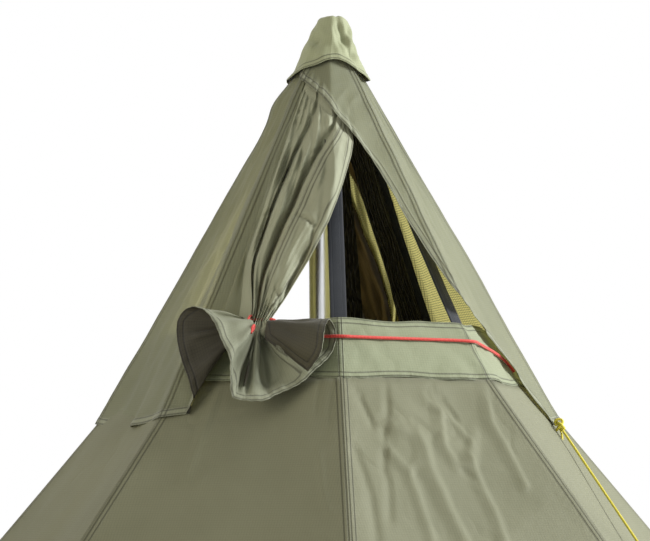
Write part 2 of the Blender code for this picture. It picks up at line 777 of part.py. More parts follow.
def build_hood():
    """Four cloth panels of each hood half."""
    top = HOOD_TOP_HEIGHT
    hem = HOOD_HEM_HEIGHT
    for half, word in ((0, "right"), (4, "left")):
        build_crown(half, word)
        seam = hood_height(DIAGONAL_SEAM_RISE)
        wing = [(0.0, seam), (DIAGONAL_END_SHARE, hem), (1.0, hem), (1.0, top), (0.0, top)]
        add_wall("hood_%s_wing" % word, HOOD, half + 1, wing, HOOD_CLOTH)
        side = [(0.0, hem), (1.0, hem), (1.0, top), (0.0, top)]
        add_wall("hood_%s_side" % word, HOOD, half + 2, side, HOOD_CLOTH)
        rear = [(share, hood_height(rise)) for share, rise in FLAP_HEM]
        rear += [(FLAP_SHARE, TIE_HEIGHT), (FLAP_SHARE, top), (0.0, top)]
        add_wall("hood_%s_rear" % word, HOOD, half + 3, rear, HOOD_CLOTH)


# Rise, right edge across the tent, fold depth and how far the folds stand out of the hood's face
FLAP_TABLE = (
    (0.9366, -0.0422, 0.0016, -0.0079),
    (0.9155, -0.0370, 0.0016, -0.0079),
    (0.8803, 0.0264, 0.0016, -0.0079),
    (0.8592, 0.0475, 0.0021, -0.0098),
    (0.8239, 0.0792, 0.0026, -0.0106),
    (0.7817, 0.0871, 0.0032, -0.0119),
    (0.7359, 0.0766, 0.0079, -0.0079),
    (0.6479, 0.0370, 0.0158, 0.0000),
    (0.5299, -0.0264, 0.0264, 0.0079),
    (0.4190, -0.1083, 0.0290, 0.0132),
    (0.3310, -0.1664, 0.0238, 0.0158),
)
# Fold depth and stand of the folds where they end at the tie
FOLD_END = (0.0045, 0.0060)


def flap_left(height):
    """Left edge of the folds across the tent, beside the flat part of the flap."""
    radius = radius_at(HOOD, height) - radial(HOOD, CLOTH)
    return -radius * math.sin(2 * CORNER_TURN) * (1.0 - FLAP_SHARE) + 2 * TOUCH


def fold_row(row):
    """Points across the folds at one level, from the flat part of the flap to its free edge."""
    height, right, fold, out = row
    left = flap_left(height)
    count = 5 * FLAP_FOLDS
    points = []
    for i in range(count + 1):
        share = i / count
        x = left + (right - left) * share
        if abs(x) < (right - left) / count / 2:
            x = 0.0
        settle = min(1.0, share * 5)
        wave = math.sin(2.0 * math.pi * FLAP_FOLDS * share) * fold
        stand = (out + wave) * settle - FLAP_THICKNESS / 2
        points.append(front_point(HOOD, x, height, stand))
    return points


# Hem of the tied flap below its tie, from the hood's hem round a left and a right loop to its free
# edge: place across the tent, rise and place out of the hood
TAIL_HEM = (
    (-0.5994, 0.0106, 0.0185),
    (-0.5519, 0.0704, 0.0290),
    (-0.5783, 0.0898, 0.0449),
    (-0.6126, 0.1426, 0.0634),
    (-0.6364, 0.2077, 0.0845),
    (-0.6337, 0.2623, 0.1056),
    (-0.5915, 0.2923, 0.1347),
    (-0.5334, 0.2835, 0.1664),
    (-0.4912, 0.2465, 0.1875),
    (-0.4595, 0.1937, 0.2007),
    (-0.4304, 0.1479, 0.2007),
    (-0.4278, 0.1039, 0.1796),
    (-0.4225, 0.0511, 0.1558),
    (-0.3855, 0.0387, 0.1347),
    (-0.3010, 0.0370, 0.1030),
    (-0.2535, 0.0528, 0.0713),
    (-0.1769, 0.0757, 0.0396),
    (-0.1320, 0.0968, 0.0158),
    (-0.1083, 0.1144, 0.0026),
    (-0.0660, 0.1391, -0.0106),
    (-0.0343, 0.1637, -0.0185),
    (-0.0158, 0.1954, -0.0185),
    (-0.0158, 0.2324, 0.0000),
    (-0.0396, 0.2500, 0.0396),
    (-0.0634, 0.2201, 0.0766),
    (-0.0739, 0.1901, 0.0898),
    (-0.0819, 0.1602, 0.0898),
    (-0.1056, 0.1373, 0.0766),
    (-0.1294, 0.1127, 0.0581),
)
TAIL_ROWS = 7
# The tail fans out from this point behind its tie, starting at this share of the way to its hem
TAIL_APEX = (TIE_X, TIE_HEIGHT + 0.004, 0.016)
TAIL_START_SHARE = 0.14


def tail_row(share):
    """Points across the tail, at a share of the way from its apex to its hem."""
    points = []
    for across, rise, stand in TAIL_HEM:
        hem = (across * HOOD_HEM_RADIUS, hood_height(rise), stand * HOOD_HEM_RADIUS)
        x, height, out = (a + (b - a) * share for a, b in zip(TAIL_APEX, hem))
        points.append(front_point(HOOD, x, height, out))
    return points


def build_flaps():
    """Gathered flap of each hood half: folds above the tie, and the looped tail below it."""
    for half, word in ((0, "front"), (1, "back")):
        levels = [(hood_height(row[0]), *(HOOD_HEM_RADIUS * value for value in row[1:])) for row in FLAP_TABLE]
        levels.append((TIE_HEIGHT + FLAP_THICKNESS, TIE_X + NECK_WIDTH / 2, *FOLD_END))
        rows = [half_turned(fold_row(level), half) for level in levels]
        add_thick_sheet("vent_flap_%s_folds" % word, rows, FLAP_THICKNESS, HOOD_CLOTH)
        rows = []
        for i in range(TAIL_ROWS + 1):
            share = TAIL_START_SHARE + (1.0 - TAIL_START_SHARE) * i / TAIL_ROWS
            rows.append(half_turned(tail_row(share), half))
        add_thick_sheet("vent_flap_%s_tail" % word, rows, FLAP_THICKNESS, HOOD_CLOTH)


def build_cap():
    """Cloth cap over the hub, seated on the hood's top edge and on the pole's spigot."""
    seat_depth = TOUCH
    rings = []
    for height in (CAP_HEM_HEIGHT, CAP_TOP_HEIGHT):
        rings.append([outward(k) * radius_at(CAP, height) + UP * height for k in range(SIDES)])
    ceiling = SPIGOT_TOP + TOUCH
    shoulder = HOOD_TOP_HEIGHT + TOUCH
    inside = (
        (radius_at(CAP, ceiling) - CAP_CLOTH * 1.5, ceiling),
        (radius_at(HOOD, shoulder) - radial(HOOD, CLOTH), shoulder),
        (radius_at(HOOD, shoulder) + seat_depth, shoulder),
        (radius_at(HOOD, CAP_HEM_HEIGHT) + seat_depth, CAP_HEM_HEIGHT),
    )
    for radius, height in inside:
        rings.append([outward(k) * radius + UP * height for k in range(SIDES)])
    count = SIDES
    points = [p for ring in rings for p in ring]
    faces = []
    for low, high in ((0, 1), (2, 3), (3, 4), (4, 5), (5, 0)):
        for i in range(count):
            j = (i + 1) % count
            faces.append((low * count + i, low * count + j, high * count + j, high * count + i))
    faces.append(tuple(range(count, 2 * count)))
    faces.append(tuple(range(2 * count, 3 * count)))
    add_solid("top_cap", points, faces, CAP_CLOTH_FINISH)


# Cords, pegs and hem


# Red cord where it is tied round the neck: across the tent, above the tie, out of the hood
RED_CORD_TIE = (
    (-0.3802, 0.0317, 0.0119),
    (-0.3670, 0.0224, 0.0277),
    (-0.3499, 0.0185, 0.0436),
    (-0.3182, 0.0174, 0.0475),
    (-0.2905, 0.0174, 0.0449),
    (-0.2733, 0.0195, 0.0370),
    (-0.2575, 0.0201, 0.0211),
    (-0.2469, 0.0172, 0.0026),
    (-0.2311, -0.0026, -0.0224),
    (-0.2020, -0.0290, -0.0383),
)
# Then along the front of the band: across the tent, rise up the band, out of the band's face
RED_CORD_FRONT = (
    (-0.1584, 0.7278, 0.0185),
    (-0.0621, 0.6833, 0.0145),
    (-0.0211, 0.6800, 0.0158),
    (0.0211, 0.6778, 0.0158),
    (0.0621, 0.6756, 0.0145),
    (0.1703, 0.6722, 0.0145),
    (0.3433, 0.6722, 0.0145),
    (0.4753, 0.6722, 0.0145),
)
# Then round the seam and along the next wall: share, rise up the band
RED_CORD_CORNER_RISE = 0.6611
RED_CORD_SIDE = (
    (0.12, 0.6500),
    (0.20, 0.6222),
    (0.42, 0.5556),
    (0.60, 0.4611),
    (0.68, 0.3444),
    (0.70, 0.2444),
)


def band_height(rise):
    """Height at a share of the band's height above its lower edge."""
    return KINK_HEIGHT + (BAND_TOP_HEIGHT - KINK_HEIGHT) * rise


def red_cord_route():
    """Cord from the flap's tie, behind its tail and along the band, to the hood's wing."""
    out = RED_CORD_RADIUS + TOUCH
    lift = out / math.cos(math.atan(lean_of(BAND)))
    reach = HOOD_HEM_RADIUS
    route = []
    for x, rise, stand in RED_CORD_TIE:
        route.append(front_point(HOOD, x * reach, TIE_HEIGHT + rise * reach, stand * reach))
    for x, rise, stand in RED_CORD_FRONT:
        route.append(front_point(BAND, x * reach, band_height(rise), stand * reach))
    corner_height = band_height(RED_CORD_CORNER_RISE)
    corner = outward(1) * (radius_at(BAND, corner_height) + lift * 1.6)
    route.append(corner + UP * corner_height)
    for share, rise in RED_CORD_SIDE:
        route.append(wall_point(BAND, 1, share, band_height(rise), -lift * 1.5))
    return route


def hood_corner(half):
    """Lower front corner of a hood half, where its guyline starts."""
    corner = wall_point(HOOD, 1, GUYLINE_START_SHARE, HOOD_HEM_HEIGHT + GUYLINE_START_RISE)
    return half_turned([corner + wall_normal(HOOD, 1) * (GUYLINE_RADIUS + TOUCH)], half)[0]


def peg_place(half):
    """Point on the ground where a guyline meets its peg."""
    angle = math.radians(PEG_AZIMUTH)
    place = Vector((math.sin(angle), -math.cos(angle), 0.0)) * PEG_REACH
    fall = math.atan2(HOOD_HEM_HEIGHT, PEG_REACH - HOOD_HEM_RADIUS)
    height = PEG_RADIUS * 2 + GUYLINE_RADIUS * math.cos(fall) + 2 * TOUCH
    return half_turned([place + UP * height], half)[0]


def build_guyline(half, word):
    """Guyline, its runner and its peg, laid flat as on a hard floor."""
    start = hood_corner(half)
    end = peg_place(half)
    steps = 24
    route = [start.lerp(end, i / steps) for i in range(steps + 1)]
    add_cord("guyline_%s" % word, route, GUYLINE_RADIUS, YELLOW_CORD)

    along = (start - end).normalized()
    across = along.cross(UP).normalized()
    out = across.cross(along).normalized()
    middle = start.lerp(end, RUNNER_SHARE)
    count = 12
    hole = GUYLINE_RADIUS + RUNNER_GAP
    rings = []
    for radius_x, radius_y, place in (
        (RUNNER_WIDTH / 2, RUNNER_THICKNESS / 2, -RUNNER_LENGTH / 2),
        (RUNNER_WIDTH / 2, RUNNER_THICKNESS / 2, RUNNER_LENGTH / 2),
        (hole, hole, RUNNER_LENGTH / 2),
        (hole, hole, -RUNNER_LENGTH / 2),
    ):
        ring = []
        for i in range(count):
            turn = 2.0 * math.pi * i / count
            ring.append(
                middle + along * place + across * radius_x * math.cos(turn) + out * radius_y * math.sin(turn)
            )
        rings.append(ring)
    add_loft("guyline_runner_%s" % word, rings, DARK_PLASTIC, closed=True, origin=middle)

    plan = Vector((end.x, end.y, 0.0)).normalized()
    level = UP * (PEG_RADIUS + TOUCH)
    foot = Vector((end.x, end.y, 0.0)) + level
    tip = foot + plan * PEG_LENGTH
    ring = circle(foot - plan * PEG_RADIUS * 3, UP.cross(plan), UP, PEG_RADIUS, 10)
    shaft = [p + (tip - foot) for p in ring]
    point = circle(tip + plan * PEG_RADIUS * 4, UP.cross(plan), UP, PEG_RADIUS / 4, 10)
    add_loft("guyline_peg_%s" % word, [ring, shaft, point], STEEL)


def build_cords():
    """Red vent cords and yellow guylines, front and back."""
    for half, word in ((0, "front"), (1, "back")):
        route = half_turned(smooth_route(red_cord_route(), 3), half)
        add_cord("vent_cord_%s" % word, route, RED_CORD_RADIUS, RED_CORD)
        build_guyline(half, word)


def hem_station(seam, shift, reach):
    """Foot and head of the hem webbing near a seam, moved along the wall and out of it."""
    side = seam if shift > 0 else seam - 1
    foot = outward(seam) * (BASE_RADIUS - HEM_LOW * lean_of(BODY)) + sideways(side + 0.5) * shift
    head = foot - outward(seam) * HEM_WIDTH * lean_of(BODY) * 0.8
    step = outward(seam) * (reach + TOUCH * 2)
    return foot + step + UP * HEM_LOW, head + step + UP * (HEM_LOW + HEM_WIDTH * 0.8)


def build_hem():
    """Webbing round the body's foot, drawn out into a peg loop at each seam."""
    inner_loop = (
        (-LOOP_HALF_WIDTH, 0.0),
        (-LOOP_HALF_WIDTH, LOOP_REACH * 0.85),
        (-LOOP_HALF_WIDTH * 0.5, LOOP_REACH),
        (LOOP_HALF_WIDTH * 0.5, LOOP_REACH),
        (LOOP_HALF_WIDTH, LOOP_REACH * 0.85),
        (LOOP_HALF_WIDTH, 0.0),
    )
    normal = wall_normal(BODY, 0)
    level = math.hypot(normal.x, normal.y)
    thickness = WEBBING_THICKNESS / level
    rings = []
    for seam in range(SIDES):
        for shift, reach in inner_loop:
            foot, head = hem_station(seam, shift, reach)
            at_base = reach == 0.0
            side = seam if shift > 0 else seam - 1
            out = outward(side + 0.5) * thickness if at_base else None
            if out is None:
                bow = sideways(seam) * (shift / LOOP_HALF_WIDTH) + outward(seam) * (reach / LOOP_REACH - 0.5)
                out = bow.normalized() * thickness
            rings.append([foot, head, head + out, foot + out])
    first_side = DOOR_SIDE
    left_share = hinge_share(0.0) - 0.02
    right_share = zip_share(0.0) + 0.03
    for share, place in ((left_share, len(rings)), (right_share, 0)):
        foot = wall_point(BODY, first_side, share, HEM_LOW, -TOUCH * 2)
        head = wall_point(BODY, first_side, share, HEM_LOW + HEM_WIDTH * 0.8, -TOUCH * 2)
        out = outward(first_side + 0.5) * thickness
        rings.insert(place, [foot, head, head + out, foot + out])
    add_loft("hem_webbing", rings, GREY_WEBBING)


def main():
    """Builds every piece of the tent."""
    clear_scene()
    build_pole()
    build_hub()
    build_clamp()
    build_walls()
    build_door()
    build_slider()
    build_tieback()
    build_band()
    build_webbings()
    build_nets()
    build_hood()
    build_flaps()
    build_cap()
    build_cords()
    build_hem()


main()
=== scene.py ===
"""Eight-sided centre-pole tipi tent, dressed over its CAD frame.

Every cloth is one curved sheet worked out on a grid of points: columns run round the tent and rows run up
it. A place round the tent is counted in seams, so place 7.25 lies a quarter of the way from seam 7 to seam 0.
"""

import logging
import math
from dataclasses import dataclass
from enum import Enum
from typing import Any

import bmesh
import bpy
import numpy as np
from mathutils import Matrix, Vector


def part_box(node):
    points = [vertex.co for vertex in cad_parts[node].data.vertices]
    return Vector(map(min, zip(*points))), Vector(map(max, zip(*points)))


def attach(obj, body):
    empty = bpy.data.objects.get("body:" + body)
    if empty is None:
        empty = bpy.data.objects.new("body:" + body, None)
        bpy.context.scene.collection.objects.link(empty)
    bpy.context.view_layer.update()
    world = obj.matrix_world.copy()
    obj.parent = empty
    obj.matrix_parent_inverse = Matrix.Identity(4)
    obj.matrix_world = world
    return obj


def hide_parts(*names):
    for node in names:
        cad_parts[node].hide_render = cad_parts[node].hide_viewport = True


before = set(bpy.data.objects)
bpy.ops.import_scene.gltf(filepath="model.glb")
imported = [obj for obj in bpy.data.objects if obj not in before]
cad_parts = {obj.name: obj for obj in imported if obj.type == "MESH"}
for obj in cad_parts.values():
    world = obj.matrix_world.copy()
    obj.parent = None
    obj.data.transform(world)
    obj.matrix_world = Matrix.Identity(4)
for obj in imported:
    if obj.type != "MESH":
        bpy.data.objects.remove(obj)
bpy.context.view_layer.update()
LOG = logging.getLogger("tipi")

Array = np.ndarray
Piece = bpy.types.Object
UP = np.array((0.0, 0.0, 1.0))
# Walls of the tent, the turn from one seam to the next, and how steeply a wall falls back from its seam
SIDES = 8
SEAM_TURN = 2.0 * math.pi / SIDES
HALF_TURN_TAN = math.tan(math.pi / SIDES)


# Shapes shared by the pieces


def joined(*values: Any) -> Array:
    """The values side by side along a new last axis."""
    return np.stack(np.broadcast_arrays(*values), axis=-1)


def quad_corners(grid: Array) -> Array:
    """The grid's values at each quad's four corners, anticlockwise from outside."""
    return np.stack([grid[:-1, :-1], grid[:-1, 1:], grid[1:, 1:], grid[1:, :-1]], axis=2)


@dataclass(frozen=True)
class Slope:
    """An eight-sided wall, straight between a low and a high ring, measured at its seams."""

    low_radius: float
    low_height: float
    high_radius: float
    high_height: float

    def radius(self, height: Any) -> Any:
        """Radius at the seams, which changes evenly with the height."""
        rise = (height - self.low_height) / (self.high_height - self.low_height)
        return self.low_radius + rise * (self.high_radius - self.low_radius)

    def point(self, place: Any, height: Any, out: Any = 0.0) -> Array:
        """Points on the flat walls: each lies on the straight line between its two seams.

        Args:
            place: Place round the tent, counted in seams.
            height: Height above the ground.
            out: How far outside the wall, measured level.

        Returns:
            Points with x, y and z along the last axis.
        """
        place = np.asarray(place, dtype=float)
        seam = np.floor(place)
        share = place - seam
        before, after = seam * SEAM_TURN, (seam + 1.0) * SEAM_TURN
        radius = self.radius(np.asarray(height, dtype=float)) + out
        x = radius * ((1.0 - share) * np.sin(before) + share * np.sin(after))
        y = -radius * ((1.0 - share) * np.cos(before) + share * np.cos(after))
        return joined(x, y, height)

    def front(self, x: Any, height: Any, out: Any = 0.0) -> Array:
        """Points on the two front walls: y is x times the tangent of half a seam's turn, less the radius.

        Args:
            x: Place across the tent.
            height: Height above the ground.
            out: How far in front of the wall.

        Returns:
            Points with x, y and z along the last axis.
        """
        x = np.asarray(x, dtype=float)
        y = np.abs(x) * HALF_TURN_TAN - (self.radius(np.asarray(height, dtype=float)) + out)
        return joined(x, y, height)

    def side(self, height: Any) -> Any:
        """Length of one wall from seam to seam."""
        return 2.0 * self.radius(height) * math.sin(math.pi / SIDES)

    def slant(self) -> float:
        """Metres up the slope for each metre of height."""
        return math.hypot(1.0, (self.low_radius - self.high_radius) / (self.high_height - self.low_height))


# Low radius and height, then high radius and height
BODY = Slope(1.936, 0.0, 0.327, 1.93)
BAND = Slope(0.327, 1.93, 0.271, 2.02)
HOOD = Slope(0.3787, 1.872, 0.0594, 2.44)
CAP = Slope(0.0825, 2.408, 0.016, 2.543)
WEBBING = Slope(0.2631, 2.02, 0.0392, 2.461)
# The pole stands a little left of the tent's axis
POLE_X = -0.016


def unit(vectors: Array) -> Array:
    """The vectors at length one."""
    return vectors / np.maximum(np.linalg.norm(vectors, axis=-1, keepdims=True), 1e-12)


def ease(low: float, high: float, value: Any) -> Any:
    """Smooth step from 0 at low to 1 at high: 3t^2 - 2t^3."""
    t = np.clip((np.asarray(value, dtype=float) - low) / (high - low), 0.0, 1.0)
    return t * t * (3.0 - 2.0 * t)


def outward(points: Array, wraps: bool = False) -> Array:
    """Unit normals of a grid: the step along a row crossed with the step up a column.

    Args:
        points: Grid of rows, columns and x, y, z.
        wraps: Whether the last column is the first one again.

    Returns:
        A normal for each point, pointing out of the tent.
    """
    if wraps:
        ring = np.concatenate([points[:, -2:-1], points, points[:, 1:2]], axis=1)
        across = ring[:, 2:] - ring[:, :-2]
    else:
        across = np.gradient(points, axis=1)
    return unit(np.cross(across, np.gradient(points, axis=0)))


def ripples(u: Any, v: Any, seed: int, size: float, waves: int = 9) -> Any:
    """Soft random waves: a sum of sines with seeded directions, lengths and phases.

    Args:
        u, v: Metres across and up the cloth.
        seed: Seed of the directions.
        size: Usual length of a wave in metres.
        waves: How many sines are added.

    Returns:
        Values around zero, seldom beyond 2.
    """
    pick = np.random.default_rng(seed)
    total = np.zeros(np.broadcast(u, v).shape)
    for angle, stretch, phase in pick.uniform((0.0, 0.6, 0.0), (math.pi, 1.7, 2 * math.pi), (waves, 3)):
        along = u * math.cos(angle) + v * math.sin(angle)
        total = total + np.sin(2.0 * math.pi * along / (size * stretch) + phase)
    return total / math.sqrt(waves / 2.0)


def creases(u: Any, v: Any, seed: int, size: float) -> Any:
    """Sharp random folds: ripples bent by broader ripples and folded at zero.

    Args:
        u, v: Metres across and up the cloth.
        seed: Seed of the ripples.
        size: Usual distance between folds in metres.

    Returns:
        Values from 0.7 on a fold down to about -1.
    """
    bend = ripples(u, v, seed + 50, size * 2.5) * size * 0.35
    return 0.7 - np.abs(ripples(u + bend, v - bend, seed, size, 6))


def ridge(u: Array, v: Array, start: tuple[float, float], end: tuple[float, float], width: float) -> Array:
    """One soft crease along a straight line: a bell curve across it that fades at its ends.

    Args:
        u, v: Metres across and up the cloth.
        start: Start of the line.
        end: End of the line.
        width: Distance at which the bell curve is down to 0.37.

    Returns:
        Values from 0 to 1.
    """
    a, b = np.array(start), np.array(end)
    length = float(np.linalg.norm(b - a))
    along = ((u - a[0]) * (b - a)[0] + (v - a[1]) * (b - a)[1]) / length
    across = ((u - a[0]) * (b - a)[1] - (v - a[1]) * (b - a)[0]) / length
    fade = ease(-0.15 * length, 0.25 * length, along) * (1.0 - ease(0.7 * length, 1.1 * length, along))
    return np.exp(-((across / width) ** 2)) * fade


def near_line(u: Array, v: Array, line: Any, right: float = 1.0) -> tuple[Array, Array]:
    """Distance to a broken line, found on each of its straight parts in turn.

    Args:
        u, v: Metres across and up the cloth.
        line: Points of the line.
        right: What a distance on the line's right side is multiplied by.

    Returns:
        The distance, and the share of the line's length at which its nearest point lies.
    """
    path = np.array(line)
    run = run_of(path)
    best, place = np.full(np.broadcast(u, v).shape, 9.0), np.zeros(np.broadcast(u, v).shape)
    for (a, b), (c, d), start, end in zip(path, path[1:], run, run[1:]):
        along = np.clip(((u - a) * (c - a) + (v - b) * (d - b)) / (end - start) ** 2, 0.0, 1.0)
        gap_u, gap_v = u - a - along * (c - a), v - b - along * (d - b)
        on_right = (gap_u * (d - b) - gap_v * (c - a)) < 0.0
        gap = np.hypot(gap_u, gap_v) * np.where(on_right, right, 1.0)
        place = np.where(gap < best, (start + along * (end - start)) / run[-1], place)
        best = np.minimum(best, gap)
    return best, place


def soft_crease(u: Array, v: Array, line: Any, width: float) -> Array:
    """One crease along a broken line: a bell curve across it that fades at both ends.

    Args:
        u, v: Metres across and up the cloth.
        line: Points of the line.
        width: Distance at which the bell curve is down to 0.37.

    Returns:
        Values from 0 to 1.
    """
    gap, place = near_line(u, v, line)
    return np.exp(-((gap / width) ** 2)) * ease(-0.12, 0.22, place) * (1.0 - ease(0.78, 1.12, place))


def sharp_crease(u: Array, v: Array, line: Any, width: float) -> Array:
    """One crease along a broken line: 1 on it, evenly down to 0 at its width, or half that on its right."""
    return np.clip(1.0 - near_line(u, v, line, right=2.0)[0] / width, 0.0, 1.0)


def crease_table(*rows: tuple[float, ...]) -> list[tuple[float, float, Array]]:
    """Creases given in millimetres: width, depth and points, as the same in metres."""
    return [(row[0] / 1000.0, row[1] / 1000.0, np.reshape(row[2:], (-1, 2)) / 1000.0) for row in rows]


def smooth_path(points: Any, steps: int) -> Array:
    """Smooth curve through the points: a Catmull-Rom cubic between each pair.

    Args:
        points: Points along the way.
        steps: New points for each old one.

    Returns:
        The points of the curve.
    """
    p = np.asarray(points, dtype=float)
    p = np.concatenate([2 * p[:1] - p[1:2], p, 2 * p[-1:] - p[-2:-1]])
    t = np.linspace(0.0, 1.0, steps, endpoint=False)[:, None]
    a, b, c, d = (p[i : len(p) - 3 + i, None] for i in range(4))
    body = 0.5 * (2 * b + (c - a) * t + (2 * a - 5 * b + 4 * c - d) * t**2 + (3 * b - a - 3 * c + d) * t**3)
    return np.concatenate([body.reshape(-1, p.shape[1]), p[-2:-1]])


def run_of(path: Array) -> Array:
    """Length along a path at each of its points."""
    return np.concatenate([[0.0], np.cumsum(np.linalg.norm(np.diff(path, axis=0), axis=1))])


def resampled(path: Array, count: int) -> Array:
    """Points at equal steps along a path.

    Args:
        path: Points of the path.
        count: How many new points.

    Returns:
        The new points, its ends among them.
    """
    run = run_of(path)
    places = np.linspace(0.0, run[-1], count)
    return np.stack([np.interp(places, run, path[:, i]) for i in range(path.shape[1])], axis=-1)


def nearest_edge(points: Array, edge: Array, spacing: float = 0.0012) -> Array:
    """Distance to an edge line and the place along it, for each point of a grid.

    Args:
        points: Grid of points.
        edge: Points along the edge.
        spacing: Step of the finer points that the edge is measured at.

    Returns:
        Distance and run along the edge, in metres, on the last axis.
    """
    length = run_of(edge)[-1]
    fine = resampled(edge, int(length / spacing) + 2).astype(np.float32)
    flat = points.reshape(-1, 3).astype(np.float32)
    squares = (fine**2).sum(axis=1)
    found = np.empty((len(flat), 2))
    for start in range(0, len(flat), 4000):
        block = flat[start : start + 4000]
        gaps = squares - 2.0 * block @ fine.T
        best = gaps.argmin(axis=1)
        found[start : start + 4000, 0] = np.linalg.norm(block - fine[best], axis=1)
        found[start : start + 4000, 1] = best * (length / (len(fine) - 1))
    return found.reshape(points.shape[:-1] + (2,))


def half_turned(points: Array) -> Array:
    """The points turned half a turn about the tent's axis."""
    return points * np.array((-1.0, -1.0, 1.0))


def beside_seam(seam: Any, reach: Any, offset: Any, height: Any) -> Array:
    """Points beside a seam: a level line out to it, and a second one square to that.

    Args:
        seam: Number of the seam.
        reach: Level distance from the tent's axis towards the seam.
        offset: Level distance to the seam's side.
        height: Height above the ground.

    Returns:
        Points with x, y and z along the last axis.
    """
    angle = seam * SEAM_TURN
    x = np.sin(angle) * reach + np.cos(angle) * offset
    y = -np.cos(angle) * reach + np.sin(angle) * offset
    return joined(x, y, height)


def add_piece(
    name: str,
    points: Array,
    maps: dict[str, Array] | None = None,
    wraps: bool = False,
    keep: Array | None = None,
    weld: bool = False,
) -> Piece:
    """A smooth mesh piece over a grid of points.

    Args:
        name: Name of the piece.
        points: Grid of rows, columns and x, y, z.
        maps: UV maps by name, each a grid of two values for each point or for each quad's four corners.
        wraps: Whether the last column is the first one again.
        keep: Which quads are kept, or all of them.
        weld: Whether points that lie together are joined, as at a pole.

    Returns:
        The new object at the origin.
    """
    rows, columns = points.shape[:2]
    width = columns - 1 if wraps else columns
    index = np.arange(rows * width).reshape(rows, width)
    if wraps:
        index = np.concatenate([index, index[:, :1]], axis=1)
    kept = slice(None) if keep is None else keep
    used, local = np.unique(quad_corners(index)[kept].reshape(-1), return_inverse=True)
    mesh = bpy.data.meshes.new(name)
    mesh.vertices.add(len(used))
    mesh.vertices.foreach_set("co", points[:, :width].reshape(-1, 3)[used].ravel())
    mesh.loops.add(len(local))
    mesh.loops.foreach_set("vertex_index", local.ravel())
    mesh.polygons.add(len(local) // 4)
    mesh.polygons.foreach_set("loop_start", np.arange(0, len(local), 4))
    for label, values in (maps or {}).items():
        values = quad_corners(values) if values.ndim == 3 else values
        layer = mesh.uv_layers.new(name=label)
        layer.data.foreach_set("uv", values[kept].reshape(-1))
    mesh.update(calc_edges=True)
    if weld:
        shape = bmesh.new()
        shape.from_mesh(mesh)
        bmesh.ops.remove_doubles(shape, verts=shape.verts, dist=1e-6)
        bmesh.ops.recalc_face_normals(shape, faces=shape.faces)
        shape.to_mesh(mesh)
        shape.free()
    mesh.shade_smooth()
    piece = bpy.data.objects.new(name, mesh)
    bpy.context.scene.collection.objects.link(piece)
    return piece


def add_tube(name: str, path: Array, radius: Any, sides: int = 12) -> Piece:
    """A round cord along a path: a circle carried along it, closed at both ends.

    Args:
        name: Name of the piece.
        path: Middle line of the cord.
        radius: Radius, or one for each point of the path.
        sides: Points round the circle.

    Returns:
        The new object, with the map Grain in metres along and turns round.
    """
    tangent = unit(np.gradient(path, axis=0))
    lead = np.where(np.abs(tangent[:, 2:3]) > 0.95, np.array((0.0, 1.0, 0.0)), UP)
    side = unit(np.cross(tangent, lead))
    rise = np.cross(side, tangent)
    turn = np.linspace(0.0, 2.0 * math.pi, sides + 1)
    reach = np.broadcast_to(np.asarray(radius, dtype=float), (len(path),))[:, None, None]
    spoke = side[:, None] * np.cos(turn)[:, None] + rise[:, None] * np.sin(turn)[:, None]
    points = path[:, None] + spoke * reach
    points = np.concatenate([path[:1, None] + points[:1] * 0.0, points, path[-1:, None] + points[-1:] * 0.0])
    run = run_of(path)
    run = np.concatenate([run[:1], run, run[-1:]])
    grain = joined(run[:, None], turn[None] / (2.0 * math.pi))
    return add_piece(name, points, {"Grain": grain}, wraps=True, weld=True)


def add_turned(name: str, profile: Any, centre: tuple[float, float], count: int = 64) -> Piece:
    """A turned piece: a profile of radius and height carried round an upright line.

    Args:
        name: Name of the piece.
        profile: Pairs of radius and height, from the bottom up the outside.
        centre: x and y of the line.
        count: Points round the piece.

    Returns:
        The new object, with the map Grain in metres round and up.
    """
    line = np.asarray(profile, dtype=float)
    turn = np.linspace(0.0, 2.0 * math.pi, count + 1)
    x = centre[0] + line[:, :1] * np.sin(turn)
    y = centre[1] - line[:, :1] * np.cos(turn)
    points = joined(x, y, line[:, 1:])
    grain = joined(turn * float(line[:, 0].max()), run_of(line)[:, None])
    return add_piece(name, points, {"Grain": grain}, wraps=True, weld=True)


def thicken(piece: Piece, thickness: float, inner: bpy.types.Material | None = None) -> None:
    """Gives a cloth its thickness on its inner side, with an own material there.

    Args:
        piece: The cloth.
        thickness: Its thickness in metres.
        inner: Material of its inner side, or the same as outside.
    """
    step = piece.modifiers.new("Thickness", "SOLIDIFY")
    step.thickness = thickness
    step.offset = -1.0
    step.use_even_offset = False
    if inner is not None:
        piece.data.materials.append(inner)
        step.material_offset = 1
        step.material_offset_rim = 0


# Materials


def linear(code: str) -> tuple[float, float, float, float]:
    """A six-figure sRGB hex colour as linear values.

    Args:
        code: The colour, such as "94967D".

    Returns:
        Red, green, blue and an alpha of 1.
    """
    values = [int(code[i : i + 2], 16) / 255.0 for i in (0, 2, 4)]
    red, green, blue = (v / 12.92 if v <= 0.04045 else ((v + 0.055) / 1.055) ** 2.4 for v in values)
    return red, green, blue, 1.0


def add_node(tree: Any, kind: str, settings: dict[str, Any] | None = None, links: dict | None = None) -> Any:
    """Adds a node.

    Args:
        tree: Node tree of the material or world.
        kind: Node type.
        settings: The node's own settings by name.
        links: A pattern, a socket or a value for each input, by its name or number.

    Returns:
        The new node.
    """
    node = tree.nodes.new(kind)
    for key, value in (settings or {}).items():
        setattr(node, key, value)
    for key, value in (links or {}).items():
        value = value.socket if isinstance(value, Pattern) else value
        if isinstance(value, bpy.types.NodeSocket):
            tree.links.new(value, node.inputs[key])
        else:
            node.inputs[key].default_value = value
    return node


